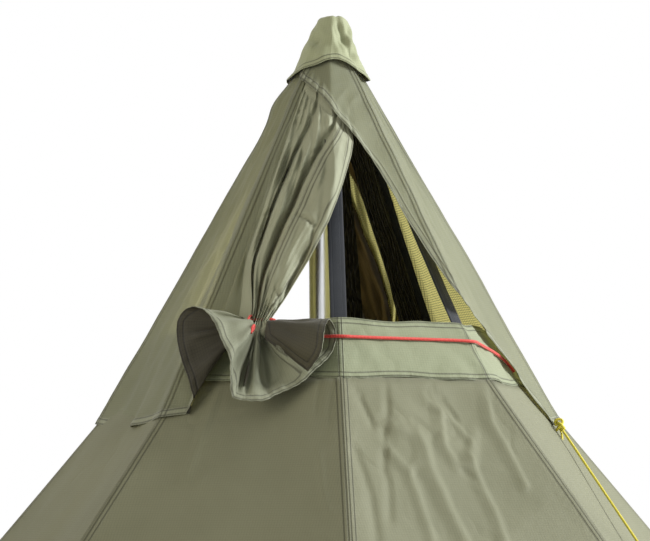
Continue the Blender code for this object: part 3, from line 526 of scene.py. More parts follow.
@dataclass(frozen=True)
class Pattern:
    """A value that changes over a surface; each sum on it adds the node that works it out."""

    tree: Any
    socket: Any

    def sum(self, operation: str, *values: Any) -> "Pattern":
        """Result of a named sum on this pattern and on further patterns or numbers."""
        node = add_node(self.tree, "ShaderNodeMath", {"operation": operation}, dict(enumerate((self, *values))))
        return Pattern(self.tree, node.outputs[0])

    def __add__(self, other: Any) -> "Pattern":
        """This and the other together."""
        return self.sum("ADD", other)

    def __sub__(self, other: Any) -> "Pattern":
        """This less the other."""
        return self.sum("SUBTRACT", other)

    def __mul__(self, other: Any) -> "Pattern":
        """This times the other."""
        return self.sum("MULTIPLY", other)

    def __abs__(self) -> "Pattern":
        """Its values without their signs."""
        return self.sum("ABSOLUTE")

    def wave(self, pitch: float) -> "Pattern":
        """Sine of its metres, from -1 to 1, repeated at a pitch in metres."""
        return (self * (2.0 * math.pi / pitch)).sum("SINE")

    def eased(self, start: float, end: float) -> "Pattern":
        """Smooth step of its values from 0 at start to 1 at end, whichever of the two is greater."""
        links = {"Value": self, "From Min": start, "From Max": end}
        step = add_node(self.tree, "ShaderNodeMapRange", {"interpolation_type": "SMOOTHSTEP"}, links)
        return Pattern(self.tree, step.outputs[0])


class Blend(Enum):
    """How a layer changes the colour under it."""

    COVER = "MIX"
    DARKEN = "MULTIPLY"


@dataclass
class Recipe:
    """A material as it is put together: its colour and its relief grow layer by layer."""

    name: str
    face: str

    def __post_init__(self) -> None:
        """Makes the empty material, flat and in the colour of its face."""
        self.material = bpy.data.materials.new(self.name)
        self.material.use_nodes = True
        self.tree = self.material.node_tree
        self.tree.nodes.clear()
        self.colour: Any = linear(self.face)
        self.relief: Pattern | None = None

    def add(self, kind: str, settings: dict[str, Any] | None = None, links: dict | None = None) -> Any:
        """Adds a node to this material."""
        return add_node(self.tree, kind, settings, links)

    def mapped(self, label: str) -> tuple[Pattern, Pattern]:
        """The two values of one of the piece's own UV maps.

        Args:
            label: Name of the map.

        Returns:
            Both values as patterns, in metres.
        """
        place = self.add("ShaderNodeUVMap", {"uv_map": label}).outputs[0]
        parts = self.add("ShaderNodeSeparateXYZ", None, {0: place}).outputs
        return Pattern(self.tree, parts[0]), Pattern(self.tree, parts[1])

    def noise(
        self, size: float, detail: float = 3.0, stretch: Any = (1.0, 1.0, 1.0), rough: float = 0.5
    ) -> Pattern:
        """Cloudy noise on Object coordinates.

        Args:
            size: Size of its spots in metres.
            detail: How many finer layers it has.
            stretch: How much closer together it lies along x, y and z.
            rough: How strong the finer layers are.

        Returns:
            A pattern from 0 to 1.
        """
        place = self.add("ShaderNodeTexCoord").outputs["Object"]
        place = self.add("ShaderNodeMapping", None, {"Vector": place, "Scale": stretch}).outputs[0]
        links = {"Vector": place, "Scale": 1.0 / size, "Detail": detail, "Roughness": rough}
        return Pattern(self.tree, self.add("ShaderNodeTexNoise", None, links).outputs[0])

    def paint(self, amount: Any, code: str, blend: Blend = Blend.COVER) -> None:
        """Lays a colour over the colour so far.

        Args:
            amount: How much of it there is, from 0 to 1.
            code: The colour in sRGB hex.
            blend: How it changes the colour under it.
        """
        settings = {"data_type": "RGBA", "blend_type": blend.value}
        links = {0: amount, 6: self.colour, 7: linear(code)}
        self.colour = self.add("ShaderNodeMix", settings, links).outputs[2]

    def raise_by(self, value: Pattern, height: float) -> None:
        """Adds a value times a height in metres to the relief."""
        self.relief = value * height if self.relief is None else self.relief + value * height

    def stitches(self, distance: Pattern, run: Pattern, places: tuple[float, ...], code: str) -> None:
        """Rows of lock stitches along an edge, each sunk in a shallow groove with painted shade along it.

        Args:
            distance: Distance to the edge.
            run: Run along the edge.
            places: Distance of each row from the edge in metres.
            code: Colour of the thread.
        """
        dash = run.wave(STITCH_PITCH).eased(-0.55, 0.1)
        for place in places:
            off = abs(distance - place)
            groove = off.eased(0.0019, 0.0004)
            thread = off.eased(0.00075, 0.00035)
            self.raise_by(groove, -0.0005)
            # Painted shade in the stitch groove
            self.paint(groove * 0.56, GROOVE_SHADE, Blend.DARKEN)
            self.paint(thread * dash * 0.55, code)

    def finish(self, roughness: Any, settings: dict[str, Any] | None = None, glow: Any = None) -> Any:
        """Ends the material in its shader.

        Args:
            roughness: Roughness value or pattern.
            settings: Other inputs of the shader, set on its own sockets.
            glow: Share and hex colour of the light that comes through a thin cloth, and how dark its grid is.

        Returns:
            The finished material.
        """
        links = {"Base Color": self.colour, "Roughness": roughness, **(settings or {})}
        if self.relief is not None:
            bump = {"Height": self.relief, "Distance": 1.0, "Strength": 1.0}
            links["Normal"] = self.add("ShaderNodeBump", None, bump).outputs[0]
        shader = self.add("ShaderNodeBsdfPrincipled", None, links).outputs[0]
        if glow is not None:
            share, code, lines = glow
            links = {0: lines, 6: linear(code), 7: linear(GRID_SHADOW)}
            tint = self.add("ShaderNodeMix", {"data_type": "RGBA"}, links).outputs[2]
            thin = self.add("ShaderNodeBsdfTranslucent", None, {"Color": tint}).outputs[0]
            shader = self.add("ShaderNodeMixShader", None, {0: share, 1: shader, 2: thin}).outputs[0]
        self.add("ShaderNodeOutputMaterial", None, {"Surface": shader})
        return self.material


# Lock stitch of a tent seam is 3 to 4 mm long; drawn at 5 mm so that single stitches can be made out
STITCH_PITCH = 0.005
# Dull olive darks of the cloth: painted shade in the grooves beside its stitches, gaps in its weave, its
# thicker yarns, and those yarns when light comes through
GROOVE_SHADE = "302E22"
WEAVE_GAP = "2E2D22"
GRID_YARN = "3A382A"
GRID_SHADOW = "3A3822"


@dataclass(frozen=True)
class RipstopCloth:
    """Tightly woven polyester-cotton ripstop: dull, softly mottled, with a fine raised grid of thicker yarns.

    The real grid is 4 to 5 mm apart, which just shows. Single yarns of 0.2 mm are too fine, so the weave
    is drawn at about 1 mm.
    """

    name: str
    face: str
    shade: str
    glow_colour: str
    thread: str = "4E4C3A"
    glow: float = 0.38
    grid: float = 0.0042
    weave: float = 0.0011
    roughness: float = 0.66
    grid_mark: float = 0.13
    hem_rows: tuple[float, ...] = (0.0022, 0.0102)
    seam_rows: tuple[float, ...] = (0.0022, 0.0085)
    seam_width: float = 0.0105
    crumple: float = 0.0009

    def material(self) -> bpy.types.Material:
        """Builds the cloth with its weave, grid, mottling, seams, hems and stitches.

        Returns:
            The finished material.
        """
        r = Recipe(self.name, self.face)
        u, v = r.mapped("Grain")
        # Mottling: patches of 0.2 m, and specks of 12 mm
        r.paint(r.noise(0.21, 4.0).eased(0.35, 0.72), self.shade)
        r.paint(r.noise(0.012, 6.0, rough=0.7).eased(0.42, 0.75) * 0.18, self.shade)
        # Yarns that go over and under each other, darker in the gaps
        warp = u.wave(self.weave) * v.wave(self.weave)
        r.raise_by(warp, 0.00004)
        r.paint(warp.eased(-0.2, 1.0) * 0.07, WEAVE_GAP)
        # Grid of thicker yarns, each a fifth of the grid's pitch wide
        rib = u.wave(self.grid).eased(0.8, 0.98).sum("MAXIMUM", v.wave(self.grid).eased(0.8, 0.98))
        r.raise_by(rib, 0.00008)
        r.paint(rib * self.grid_mark, GRID_YARN, Blend.DARKEN)
        # Soft crumples of 45 mm and of 0.16 m, and sharp creases here and there
        r.raise_by(r.noise(0.045, 5.0, rough=0.62), self.crumple * 1.6)
        r.raise_by(r.noise(0.16, 2.0), self.crumple * 4.0)
        crease = abs(r.noise(0.1, 2.0, (1.0, 1.0, 0.45)) - 0.5).sum("MINIMUM", 0.06)
        r.raise_by(crease * r.noise(0.19).eased(0.45, 0.7), self.crumple * 22.0)
        # Seams: the raised doubled strip, the pucker beside it, and its stitches
        seam, seam_run = r.mapped("Seam")
        r.raise_by(seam.eased(self.seam_width, self.seam_width - 0.0012), 0.0007)
        r.raise_by(r.noise(0.012, 2.0, (1.0, 1.0, 1.6)) * seam.eased(0.03, self.seam_width), 0.0011)
        r.stitches(seam, seam_run, self.seam_rows, self.thread)
        # Hems: their pucker and stitches
        hem, hem_run = r.mapped("Hem")
        r.raise_by(r.noise(0.01, 2.0) * hem.eased(0.022, 0.004), 0.0016)
        r.stitches(hem, hem_run, self.hem_rows, self.thread)
        gloss = {"Sheen Weight": 0.1, "Sheen Roughness": 0.5, "Specular IOR Level": 0.42}
        return r.finish(self.roughness, gloss, (self.glow, self.glow_colour, rib * self.grid_mark))


@dataclass(frozen=True)
class WovenWebbing:
    """Woven polyester webbing: dull grey ribs across it, with a darker selvedge and box stitches at its ends.

    Picks are about 1 mm apart, drawn at 1.6 mm.
    """

    name: str
    face: str
    shade: str
    width: float = 0.025
    pick: float = 0.0016
    thread: str = "9AA0A0"
    tack_rows: tuple[float, ...] = (0.006, 0.0085, 0.03)

    def material(self) -> bpy.types.Material:
        """Builds the ribs, the centre line, the selvedges and the bartacks.

        Returns:
            The finished material.
        """
        r = Recipe(self.name, self.face)
        u, v = r.mapped("Grain")
        side = abs(u)
        # Herringbone ribs that slant back from the middle
        rib = (v + side * 0.7).wave(self.pick)
        r.raise_by(rib, 0.00012)
        r.paint(rib.eased(0.2, -1.0) * 0.55, self.shade)
        # Rubbed patches of 20 mm, the selvedges, and a sunk line on each half
        r.paint(r.noise(0.02, 5.0).eased(0.4, 0.75) * 0.35, self.shade)
        r.paint(side.eased(self.width * 0.43, self.width * 0.47) * 0.45, self.shade)
        r.raise_by(abs(side - self.width * 0.27).eased(0.0012, 0.0002), -0.00015)
        end, across = r.mapped("Hem")
        inside = abs(across).eased(self.width * 0.4, self.width * 0.36)
        for place in self.tack_rows:
            tack = abs(end - place).eased(0.001, 0.0004) * inside
            r.raise_by(tack, 0.0003)
            r.paint(tack * 0.6, self.thread)
        return r.finish(0.78, {"Sheen Weight": 0.2, "Specular IOR Level": 0.25})


@dataclass(frozen=True)
class KnitMesh:
    """Knitted insect net, gathered in many layers: a soft near-black in which no single hole can be seen."""

    name: str
    face: str = "17150F"
    # Colour of the painted highlight on the pleats' crests
    edge: str = "35322A"
    pleat: float = 0.0048
    knit: float = 0.0016

    def material(self) -> bpy.types.Material:
        """Builds fine upright pleats, a little wavy, over the dark knit, with a painted highlight on each
        pleat's crest.

        Returns:
            The finished material.
        """
        r = Recipe(self.name, self.face)
        u, v = r.mapped("Grain")
        pleat = (u + r.noise(0.05) * 0.02).wave(self.pleat)
        # Painted highlight on the pleats' crests
        r.paint(pleat.eased(0.3, 1.0) * 0.7, self.edge)
        r.raise_by(pleat, 0.0006)
        r.raise_by(u.wave(self.knit) * v.wave(self.knit), 0.0001)
        return r.finish(0.9, {"Sheen Weight": 0.25, "Specular IOR Level": 0.15})


@dataclass(frozen=True)
class BraidedCord:
    """Braided polyester cord: sixteen strands that cross, each with a painted highlight along its crest and a
    dark line beside it.
    """

    name: str
    face: str
    shade: str
    strand_highlight: str
    pitch: float = 0.0045

    def material(self) -> bpy.types.Material:
        """Builds the two crossing sets of strands, as one sine along and round the cord each.

        Returns:
            The finished material.
        """
        r = Recipe(self.name, self.face)
        run, turn = r.mapped("Grain")
        lay, round_it = run * (2.0 * math.pi / self.pitch), turn * (8.0 * math.pi)
        strand = (lay + round_it).sum("SINE") * (lay - round_it).sum("SINE")
        r.raise_by(strand, 0.00022)
        r.paint(strand.eased(0.1, -0.7), self.shade)
        # Painted highlight along each strand's crest
        r.paint(strand.eased(0.55, 1.0) * 0.5, self.strand_highlight)
        return r.finish(0.55, {"Sheen Weight": 0.2, "Specular IOR Level": 0.4})


@dataclass(frozen=True)
class DrawnMetal:
    """Anodised aluminium tube, or drawn steel: bright, with faint lines along the pull and rub marks."""

    name: str
    face: str
    roughness: float
    lines: float = 0.0009
    line_colour: str = "8E9192"

    def material(self) -> bpy.types.Material:
        """Builds the draw lines, and rubbed patches of 30 mm that are duller.

        Returns:
            The finished material.
        """
        r = Recipe(self.name, self.face)
        pull = r.noise(self.lines, 3.0, (1.0, 1.0, 0.01))
        r.paint(pull.eased(0.45, 0.8) * 0.18, self.line_colour)
        r.raise_by(pull, 0.00002)
        rub = r.noise(0.03, 5.0, rough=0.7).eased(0.4, 0.8)
        return r.finish(rub * 0.14 + self.roughness, {"Metallic": 1.0})


@dataclass(frozen=True)
class MouldedPlastic:
    """Moulded nylon or rubber: satin to dull, with a fine spark-eroded grain and paler rubbed spots."""

    name: str
    face: str
    worn: str
    grain: float = 0.0008
    roughness: float = 0.48

    def material(self) -> bpy.types.Material:
        """Builds the grain, worn specks of 9 mm and uneven gloss.

        Returns:
            The finished material.
        """
        r = Recipe(self.name, self.face)
        r.paint(r.noise(0.009, 6.0, rough=0.7).eased(0.52, 0.8) * 0.6, self.worn)
        r.raise_by(r.noise(self.grain, 2.0), 0.00008)
        rough = r.noise(0.02, 4.0) * 0.18 + (self.roughness - 0.09)
        return r.finish(rough, {"Specular IOR Level": 0.45})


# Each cloth's colours: its face, its mottling, and the light that comes through it
HOOD_OUTSIDE = RipstopCloth("hood_ripstop_outside", "888C74", "7E826A", "D0D0AC", glow=0.34).material()
# Outside of the flap's folds: the hood's cloth with a paler face, as painted light
FLAP_OUTSIDE_LIT = RipstopCloth("flap_ripstop_outside_painted_light", "A7AB92", "9CA088", "BEBE98", glow=0.22).material()
DOUBLED_OUTSIDE = RipstopCloth("doubled_ripstop_outside", "8C9079", "818570", "A8A878", glow=0.14).material()
# Inside of the hood: the outside cloth with a darker, yellower face, as painted shade; its glow is light
# through the cloth
HOOD_INSIDE_SHADED = RipstopCloth(
    "hood_ripstop_inside", "6E6A4F", "625E45", "FFF6BE", thread="4C4830", glow=0.95, grid_mark=0.85
).material()
# Inside of the flap's folds: the same cloth darkened and letting less light through, as painted shade
FLAP_INSIDE_SHADED = RipstopCloth(
    "flap_ripstop_inside_painted_shade", "4C4634", "413C2C", "C0A070", thread="3A3626", glow=0.26, grid_mark=0.4
).material()
# Inside of the doubled hems, the tail and the cap: darkened, as painted shade
DOUBLED_INSIDE_SHADED = RipstopCloth(
    "doubled_ripstop_inside_painted_shade", "403D28", "343122", "8A7C4C", thread="28261C", glow=0.18, grid_mark=0.25
).material()
BODY_OUTSIDE = RipstopCloth("body_ripstop_outside", "94967D", "898B72", "A4A47C").material()
# Inside of the body: the outside cloth with a darker, yellower face, as painted shade
BODY_INSIDE_SHADED = RipstopCloth(
    "body_ripstop_inside_painted_shade", "6E6A4A", "625E40", "C8BA70", thread="4C4830", grid_mark=0.4
).material()
BAND_CLOTH = RipstopCloth(
    "band_ripstop", "8B9276", "81886C", "9CA07C", glow=0.12, seam_rows=(0.0032,), seam_width=0.006
).material()
CAP_CLOTH = RipstopCloth("cap_ripstop_outside", "A3A988", "969C7B", "A8AC80", glow=0.15).material()
GREY_WEBBING = WovenWebbing("polyester_webbing_grey", "22272F", "16191E").material()
NET = KnitMesh("gathered_insect_net").material()
RED_CORD = BraidedCord("braided_cord_red", "D0342A", "84140F", "F07A68").material()
YELLOW_CORD = BraidedCord("braided_cord_yellow", "E4D83C", "9C8E16", "FFF9A0").material()
ALUMINIUM = DrawnMetal("anodised_aluminium_tube", "F0F2F3", 0.3).material()
STEEL = DrawnMetal("drawn_steel", "B8B8B6", 0.34).material()
NYLON = MouldedPlastic("moulded_nylon_black", "1C1D1D", "3A3B3A").material()
RUBBER = MouldedPlastic("moulded_rubber_black", "171716", "2C2B29", roughness=0.72).material()


# Hood


# Low edge of a hood half from its tip, down its diagonal hem and round to its rear, for the half whose
# crown is at seam 4: place in seams, height
DIAGONAL_HEM = (
    (2.64, 2.441), (3.242, 2.421), (3.684, 2.399), (3.875, 2.384), (4.0, 2.37), (4.2, 2.348),
    (4.405, 2.322), (4.564, 2.291), (4.684, 2.255), (4.84, 2.165), (5.0, 2.06), (5.2, 2.037),
    (5.417, 2.004), (5.6, 1.958), (5.72, 1.917), (5.793, 1.884),
)
LEVEL_HEM = (
    (5.8, 1.868), (5.9, 1.87), (6.0, 1.873), (6.38, 1.861), (6.75, 1.866), (7.0, 1.873), (7.145, 1.878),
)

# Folds above the tie: height, right edge across the tent, fold depth, stand out of the hood's face, and
# the shares of the width at which the two deep valleys lie
FLAP_FOLDS = (
    (2.012, -0.1057, 0.004, 0.006, 0.08, 0.3), (2.05, -0.08, 0.0078, 0.0065, 0.06, 0.23),
    (2.11, -0.044, 0.01, 0.006, 0.07, 0.33), (2.173, -0.012, 0.0104, 0.004, 0.08, 0.35),
    (2.205, 0.0005, 0.0096, 0.0028, 0.08, 0.39), (2.24, 0.013, 0.008, 0.0015, 0.1, 0.41),
    (2.29, 0.0285, 0.0062, 0.0008, 0.15, 0.49), (2.316, 0.033, 0.0054, 0.0005, 0.19, 0.59),
    (2.34, 0.03, 0.0046, 0.0, 0.25, 0.71), (2.36, 0.026, 0.0038, 0.0, 0.31, 0.79),
    (2.392, 0.018, 0.0028, -0.0005, 0.42, 0.88), (2.44, 0.008, 0.0012, -0.001, 0.42, 0.9),
    (2.47, 0.006, 0.0006, -0.001, 0.42, 0.9),
)
# Section through the folds: share of the width with the valleys at 0.3 and 0.6, height in fold depths
FOLD_SECTION = (
    (0.0, 0.0), (0.08, 0.35), (0.15, 0.15), (0.21, 0.5), (0.24, 0.35), (0.265, -0.9), (0.3, -2.3),
    (0.33, -1.3), (0.36, 0.1), (0.39, 0.6), (0.44, 0.7), (0.49, 0.55), (0.525, 0.2), (0.555, -0.9),
    (0.58, -2.0), (0.6, -2.5), (0.61, -1.6), (0.622, 0.3), (0.66, 0.85), (0.75, 1.05), (0.85, 0.9),
    (0.93, 0.4), (1.0, -0.45),
)
# Single creases in the folds, in millimetres: width, depth, then places across the tent and heights
FLAP_CREASES = crease_table(
    (4.2, -8, -69, 2204.5, -83, 2178, -92.5, 2150, -101, 2121.5, -108.5, 2099),
    (2.6, -6, -47, 2306.9, -52.2, 2282.4, -55.9, 2256.4, -64.1, 2230.9, -70.6, 2214.1, -77.1, 2195.7),
    (4, -6, -35, 2288.2, -40.1, 2272.7, -46.8, 2250.5, -53.4, 2230.2, -61.5, 2210.1),
    (2, -4.5, -36.5, 2291.8, -30.2, 2296.7, -23.9, 2299.7),
    (3, 3, -31.9, 2288, -24.1, 2292.7, -19.3, 2295.9),
    (6, -5, -8.3, 2303.9, -12.4, 2270.7, -16.5, 2236.3, -20.6, 2202.3, -27.5, 2174),
    (6, 4, 10.4, 2297, 0.5, 2243.8, -8.5, 2201.5, -18.8, 2163.5),
    (2.6, -6.8, -62, 2187.9, -52.9, 2184, -45.4, 2180.2, -38.1, 2171.3, -27.7, 2165.7),
    (3.2, 3.4, -60.6, 2181.1, -50.1, 2175.4, -42.7, 2168.2),
    (3.5, 3, -51.2, 2192.4, -42.2, 2188.4, -33.4, 2179.4),
    (2.6, -6, -35.3, 2162.8, -35.7, 2149.5, -39, 2136.4, -46.9, 2122, -56.2, 2107.7),
    (4.2, -8.5, -42.2, 2128.3, -51.7, 2109.1, -60.9, 2094.9, -70.2, 2079.1, -76.4, 2064.9, -82.7, 2049.2),
    (3, 4, -28.2, 2147.4, -37.8, 2124.8, -51.9, 2099.3, -64.3, 2075.6, -76.7, 2052.1),
    (2.8, -7, -97, 2202.1, -103.2, 2193.9, -111, 2191),
    (5, -8, -54.7, 2311, -64.4, 2295.7, -72.5, 2278.6, -80.6, 2259.9, -87.2, 2239.4),
    (4, -6, -104.8, 2194, -111.1, 2174, -115.9, 2155.7, -120.7, 2137.5, -125.4, 2121.2),
    (2.4, -4, -97.2, 2072.3, -91.4, 2062.4, -88.6, 2049.4, -91.8, 2033.6),
    (2.4, -3, -109.5, 2042.3, -103.7, 2034.1, -97.9, 2024.4),
    (2.4, 3, -104.8, 2066.2, -101.9, 2053.2, -96.2, 2037),
    (2.4, -4, -49.4, 2405.4, -43, 2408.5, -36.9, 2396.8),
    (2.4, 3.5, -46.4, 2397.7, -40.2, 2391.6),
    (2.4, -3.5, -54.8, 2376.3, -50.2, 2370.4, -42.3, 2371.5),
    (2.4, 3, -56.7, 2365.4, -48.8, 2361.1, -42.5, 2364.2),
    (2.4, -3, -60.1, 2352.9, -52.3, 2346.8, -45.9, 2351.8),
    (2.4, -3, -57.4, 2331, -52.5, 2339.6, -44.3, 2353.4),
    (5, -3.8, -75.8, 2356.1, -95.6, 2303.5, -108.7, 2260.1, -124.7, 2209, -137.4, 2158.6, -146.8, 2114),
    (4, 3, -83.3, 2284.7, -99.5, 2242, -112.4, 2199.6, -125.2, 2149.5, -136.2, 2100.3),
    (5, -4.2, -112.3, 2208.2, -121.9, 2174.6, -131.4, 2141.5, -142.3, 2100.6, -150, 2060.2),
)

# Hem of the tail below the tie, round a left and a right loop: across the tent, height, out of the face
TAIL_HEM = (
    (-0.227, 1.878, 0.007), (-0.209, 1.912, 0.011), (-0.219, 1.923, 0.017), (-0.232, 1.953, 0.024),
    (-0.241, 1.99, 0.032), (-0.24, 2.021, 0.04), (-0.224, 2.038, 0.051), (-0.202, 2.033, 0.063),
    (-0.186, 2.012, 0.071), (-0.174, 1.982, 0.076), (-0.163, 1.956, 0.076), (-0.162, 1.931, 0.068),
    (-0.16, 1.901, 0.057), (-0.146, 1.894, 0.047), (-0.114, 1.893, 0.031), (-0.096, 1.902, 0.018),
    (-0.067, 1.915, 0.006), (-0.05, 1.927, 0.0), (-0.041, 1.937, -0.004), (-0.025, 1.951, -0.012),
    (-0.013, 1.965, -0.0175), (-0.006, 1.983, -0.0203), (-0.005, 1.992, -0.021), (-0.006, 2.004, -0.0205),
    (-0.011, 2.013, -0.012), (-0.016, 2.016, 0.008), (-0.022, 2.006, 0.028), (-0.026, 1.99, 0.038),
    (-0.028, 1.975, 0.038), (-0.032, 1.96, 0.032), (-0.04, 1.948, 0.023), (-0.049, 1.936, 0.012),
)
# Folds that run down the tail from the tie: foot on the hem, width along the hem, depth
TAIL_VALLEYS = (
    ((-0.157, 1.896), 0.006, 0.024), ((-0.141, 1.894), 0.0038, 0.018), ((-0.097, 1.903), 0.024, 0.062),
    ((-0.241, 1.992), 0.01, -0.01), ((-0.196, 2.026), 0.011, 0.007),
)
TIE = (-0.1205, 2.016, 0.016)
CLOTH_THICKNESS = 0.0009


def panel_maps(slope: Slope, place: Array, height: Array) -> dict[str, Array]:
    """Maps of sewn flat panels, which start anew at each seam.

    Args:
        slope: Wall that the panels lie on.
        place, height: Grids of places in seams and of heights.

    Returns:
        Grain, in metres from a panel's middle line and up it, and Seam, with the distance to the nearest
        seam and the run up it. Both are given for the four corners of each quad.
    """
    side = np.floor((place[:-1, :-1] + place[1:, 1:]) / 2.0)[..., None]
    length = quad_corners(np.broadcast_to(slope.side(height), place.shape))
    up = quad_corners(np.broadcast_to(height * slope.slant(), place.shape))
    across = (quad_corners(place) - side - 0.5) * length
    return {"Grain": joined(across, up), "Seam": joined(length / 2.0 - np.abs(across), up)}


def hem_raise(points: Array, hem: Array, height: float, start: float, end: float, wraps: bool = False) -> Array:
    """Raises the doubled cloth of a hem, with a soft step down where its turned-in edge ends.

    Args:
        points: Grid of points.
        hem: Distance to the hem and run along it, for each point.
        height: How far the hem stands out.
        start: Distance from the edge at which the step starts.
        end: Distance at which it ends.
        wraps: Whether the last column is the first one again.

    Returns:
        The raised points.
    """
    return points + outward(points, wraps) * (height * (1.0 - ease(start, end, hem[..., 0])))[..., None]


@dataclass
class HoodHalf:
    """One half of the hood, one cloth from its tip round its crown, wing, side and rear to its tied flap.

    The flat part's columns run straight up from its low edge. The flap's columns run up from the tail's
    looped hem, through the tie, and fan out as folds to the hood's top. Rows that lie in the hem are close
    together, at set shares of the wing's height.
    """

    word: str
    flap: str
    turned: bool
    seed: int = 11
    billow: float = 0.0
    foot: float = 1.878
    neck: float = 2.012
    top: float = 2.47
    wing_height: float = 0.562
    neck_left: float = -0.1353
    flat_end: float = 7.145
    crown_seam: float = 4.0
    crown_round: float = 0.15
    hem_levels: tuple[float, ...] = (0.0, 0.0027, 0.0107, 0.0205, 0.0236, 0.031)
    tie_level: float = 0.2384
    tail_rows: int = 26
    fold_rows: int = 112
    flap_columns: int = 160
    neck_share: float = 0.1
    start_share: float = 0.13
    flap_width: float = 0.52
    folded_width: float = 0.115
    behind_cover: float = -0.0028
    webbing_gap: float = 0.004
    deepest_valley: float = -0.0145

    def levels(self) -> Array:
        """Share of the way up at each row, as a column: close in the hem, then even to the tie and to the top.

        Returns:
            The shares.
        """
        low = np.linspace(0.042, self.tie_level, self.tail_rows - len(self.hem_levels))
        high = np.linspace(self.tie_level, 1.0, self.fold_rows + 1)[1:]
        return np.concatenate([self.hem_levels, low, high])[:, None]

    def edge(self) -> tuple[Array, Array]:
        """Places and heights of the flat part's low edge: a smooth diagonal, a corner and a level hem.

        Returns:
            The places in seams, and the heights.
        """
        line = np.concatenate([smooth_path(DIAGONAL_HEM, 6), np.array(LEVEL_HEM)])
        stretches = (
            (2.64, 3.0, 10, False), (3.0, 4.0, 28, False), (4.0, 5.0, 44, False), (5.0, 5.793, 36, True),
            (5.8, 6.0, 8, False), (6.0, 7.0, 30, False), (7.0, self.flat_end, 8, True),
        )
        places = np.concatenate([np.linspace(*stretch) for stretch in stretches])
        return places, np.interp(places, line[:, 0], line[:, 1])

    def heights(self, places: Array, low: Array) -> Array:
        """Heights of the flat part's rows: hem rows keep their distance from a slanted edge, the rest is even.

        Args:
            places: Places along the low edge.
            low: Heights of the low edge.

        Returns:
            Grid of heights.
        """
        step = np.gradient(places) * HOOD.side(low)
        lean = np.clip(np.hypot(1.0, np.gradient(low) / step), 1.0, 1.7)
        levels, count = self.levels(), len(self.hem_levels)
        rise = (self.top - low)[None]
        hem = levels[:count] * self.wing_height * lean * np.minimum(1.0, rise / (0.05 * lean))
        rest = (levels[count:] - levels[count - 1]) / (1.0 - levels[count - 1])
        return low + np.concatenate([hem, hem[-1:] + (rise - hem[-1:]) * rest])

    def flat_part(self) -> tuple[Array, Array, Array]:
        """Places, heights and points of the flat part.

        The cloth is pulled in between its seams as 4f(1 - f) over a wall, and rippled; its hems stand out.

        Returns:
            Grids of places, of heights and of points.
        """
        places, low = self.edge()
        height = self.heights(places, low)
        place = np.broadcast_to(places, height.shape)
        share = place - np.floor(place)
        belly = 4.0 * share * (1.0 - share)
        length = HOOD.side(height)
        across = place * 0.26
        calm = 0.3 + 0.7 * belly
        seed = self.seed
        fold = 0.0013 * ripples(across, height * 0.4, seed, 0.055)
        fold += 0.0026 * ripples(across, height * 0.5, seed + 1, 0.17)
        fold += 0.0013 * creases(across, height * 0.8, seed + 2, 0.11)
        # The crown is narrow, so its own waves are measured in level metres
        level = (place - 4.5) * length
        crown = 0.001 * ripples(level, height, seed + 7, 0.09)
        crown = crown + 0.0012 * creases(level, height, seed + 8, 0.12)
        fold = crown + (fold - crown) * ease(5.0, 5.8, place)
        out = -0.04 * length * belly + fold * calm * ease(0.0, 0.1, length)
        out += self.billow * np.exp(-(((place - 6.1) / 0.6) ** 2) - ((height - 2.398) / 0.028) ** 2)
        out += 0.0026 * (1.0 - ease(4.55, 5.0, place))
        # The diagonal hem stands out as a firm band over the crown, and every hem is a little wavy
        drop = height - low
        on_crown = (1.0 - ease(4.45, 4.85, place)) * ease(2.7, 3.3, place)
        out += 0.0042 * (1.0 - ease(0.004, 0.03, drop)) * on_crown
        out += (1.0 - ease(0.0, 0.035, drop)) * 0.0016 * ripples(across, height * 0.2, seed + 3, 0.03) * calm
        return place, height, self.round_crown(place, height, HOOD.point(place, height, out))

    def round_crown(self, place: Array, height: Array, points: Array) -> Array:
        """Rounds the corner in the crown's middle, where the cloth has no seam above the vent.

        A wall lies 1 / cos a times as far out as its middle, a being the turn from there. Near the corner the
        turn is eased with a square root of squares, and points move straight towards the axis.

        Args:
            place, height: Grids of places in seams and of heights.
            points: Grid of points on the walls.

        Returns:
            The moved points.
        """
        off = np.abs(place - self.crown_seam)
        turn = np.minimum(off, 0.5) * SEAM_TURN
        soft_turn = np.hypot(turn, self.crown_round)
        sharp, soft = (1.0 / np.cos(SEAM_TURN / 2.0 - angle) for angle in (turn, soft_turn))
        shrink = (soft / sharp - 1.0) * np.minimum(1.0, 0.08 / HOOD.radius(height)) * ease(0.5, 0.4, off)
        return points * joined(1.0 + shrink, 1.0 + shrink, 1.0)

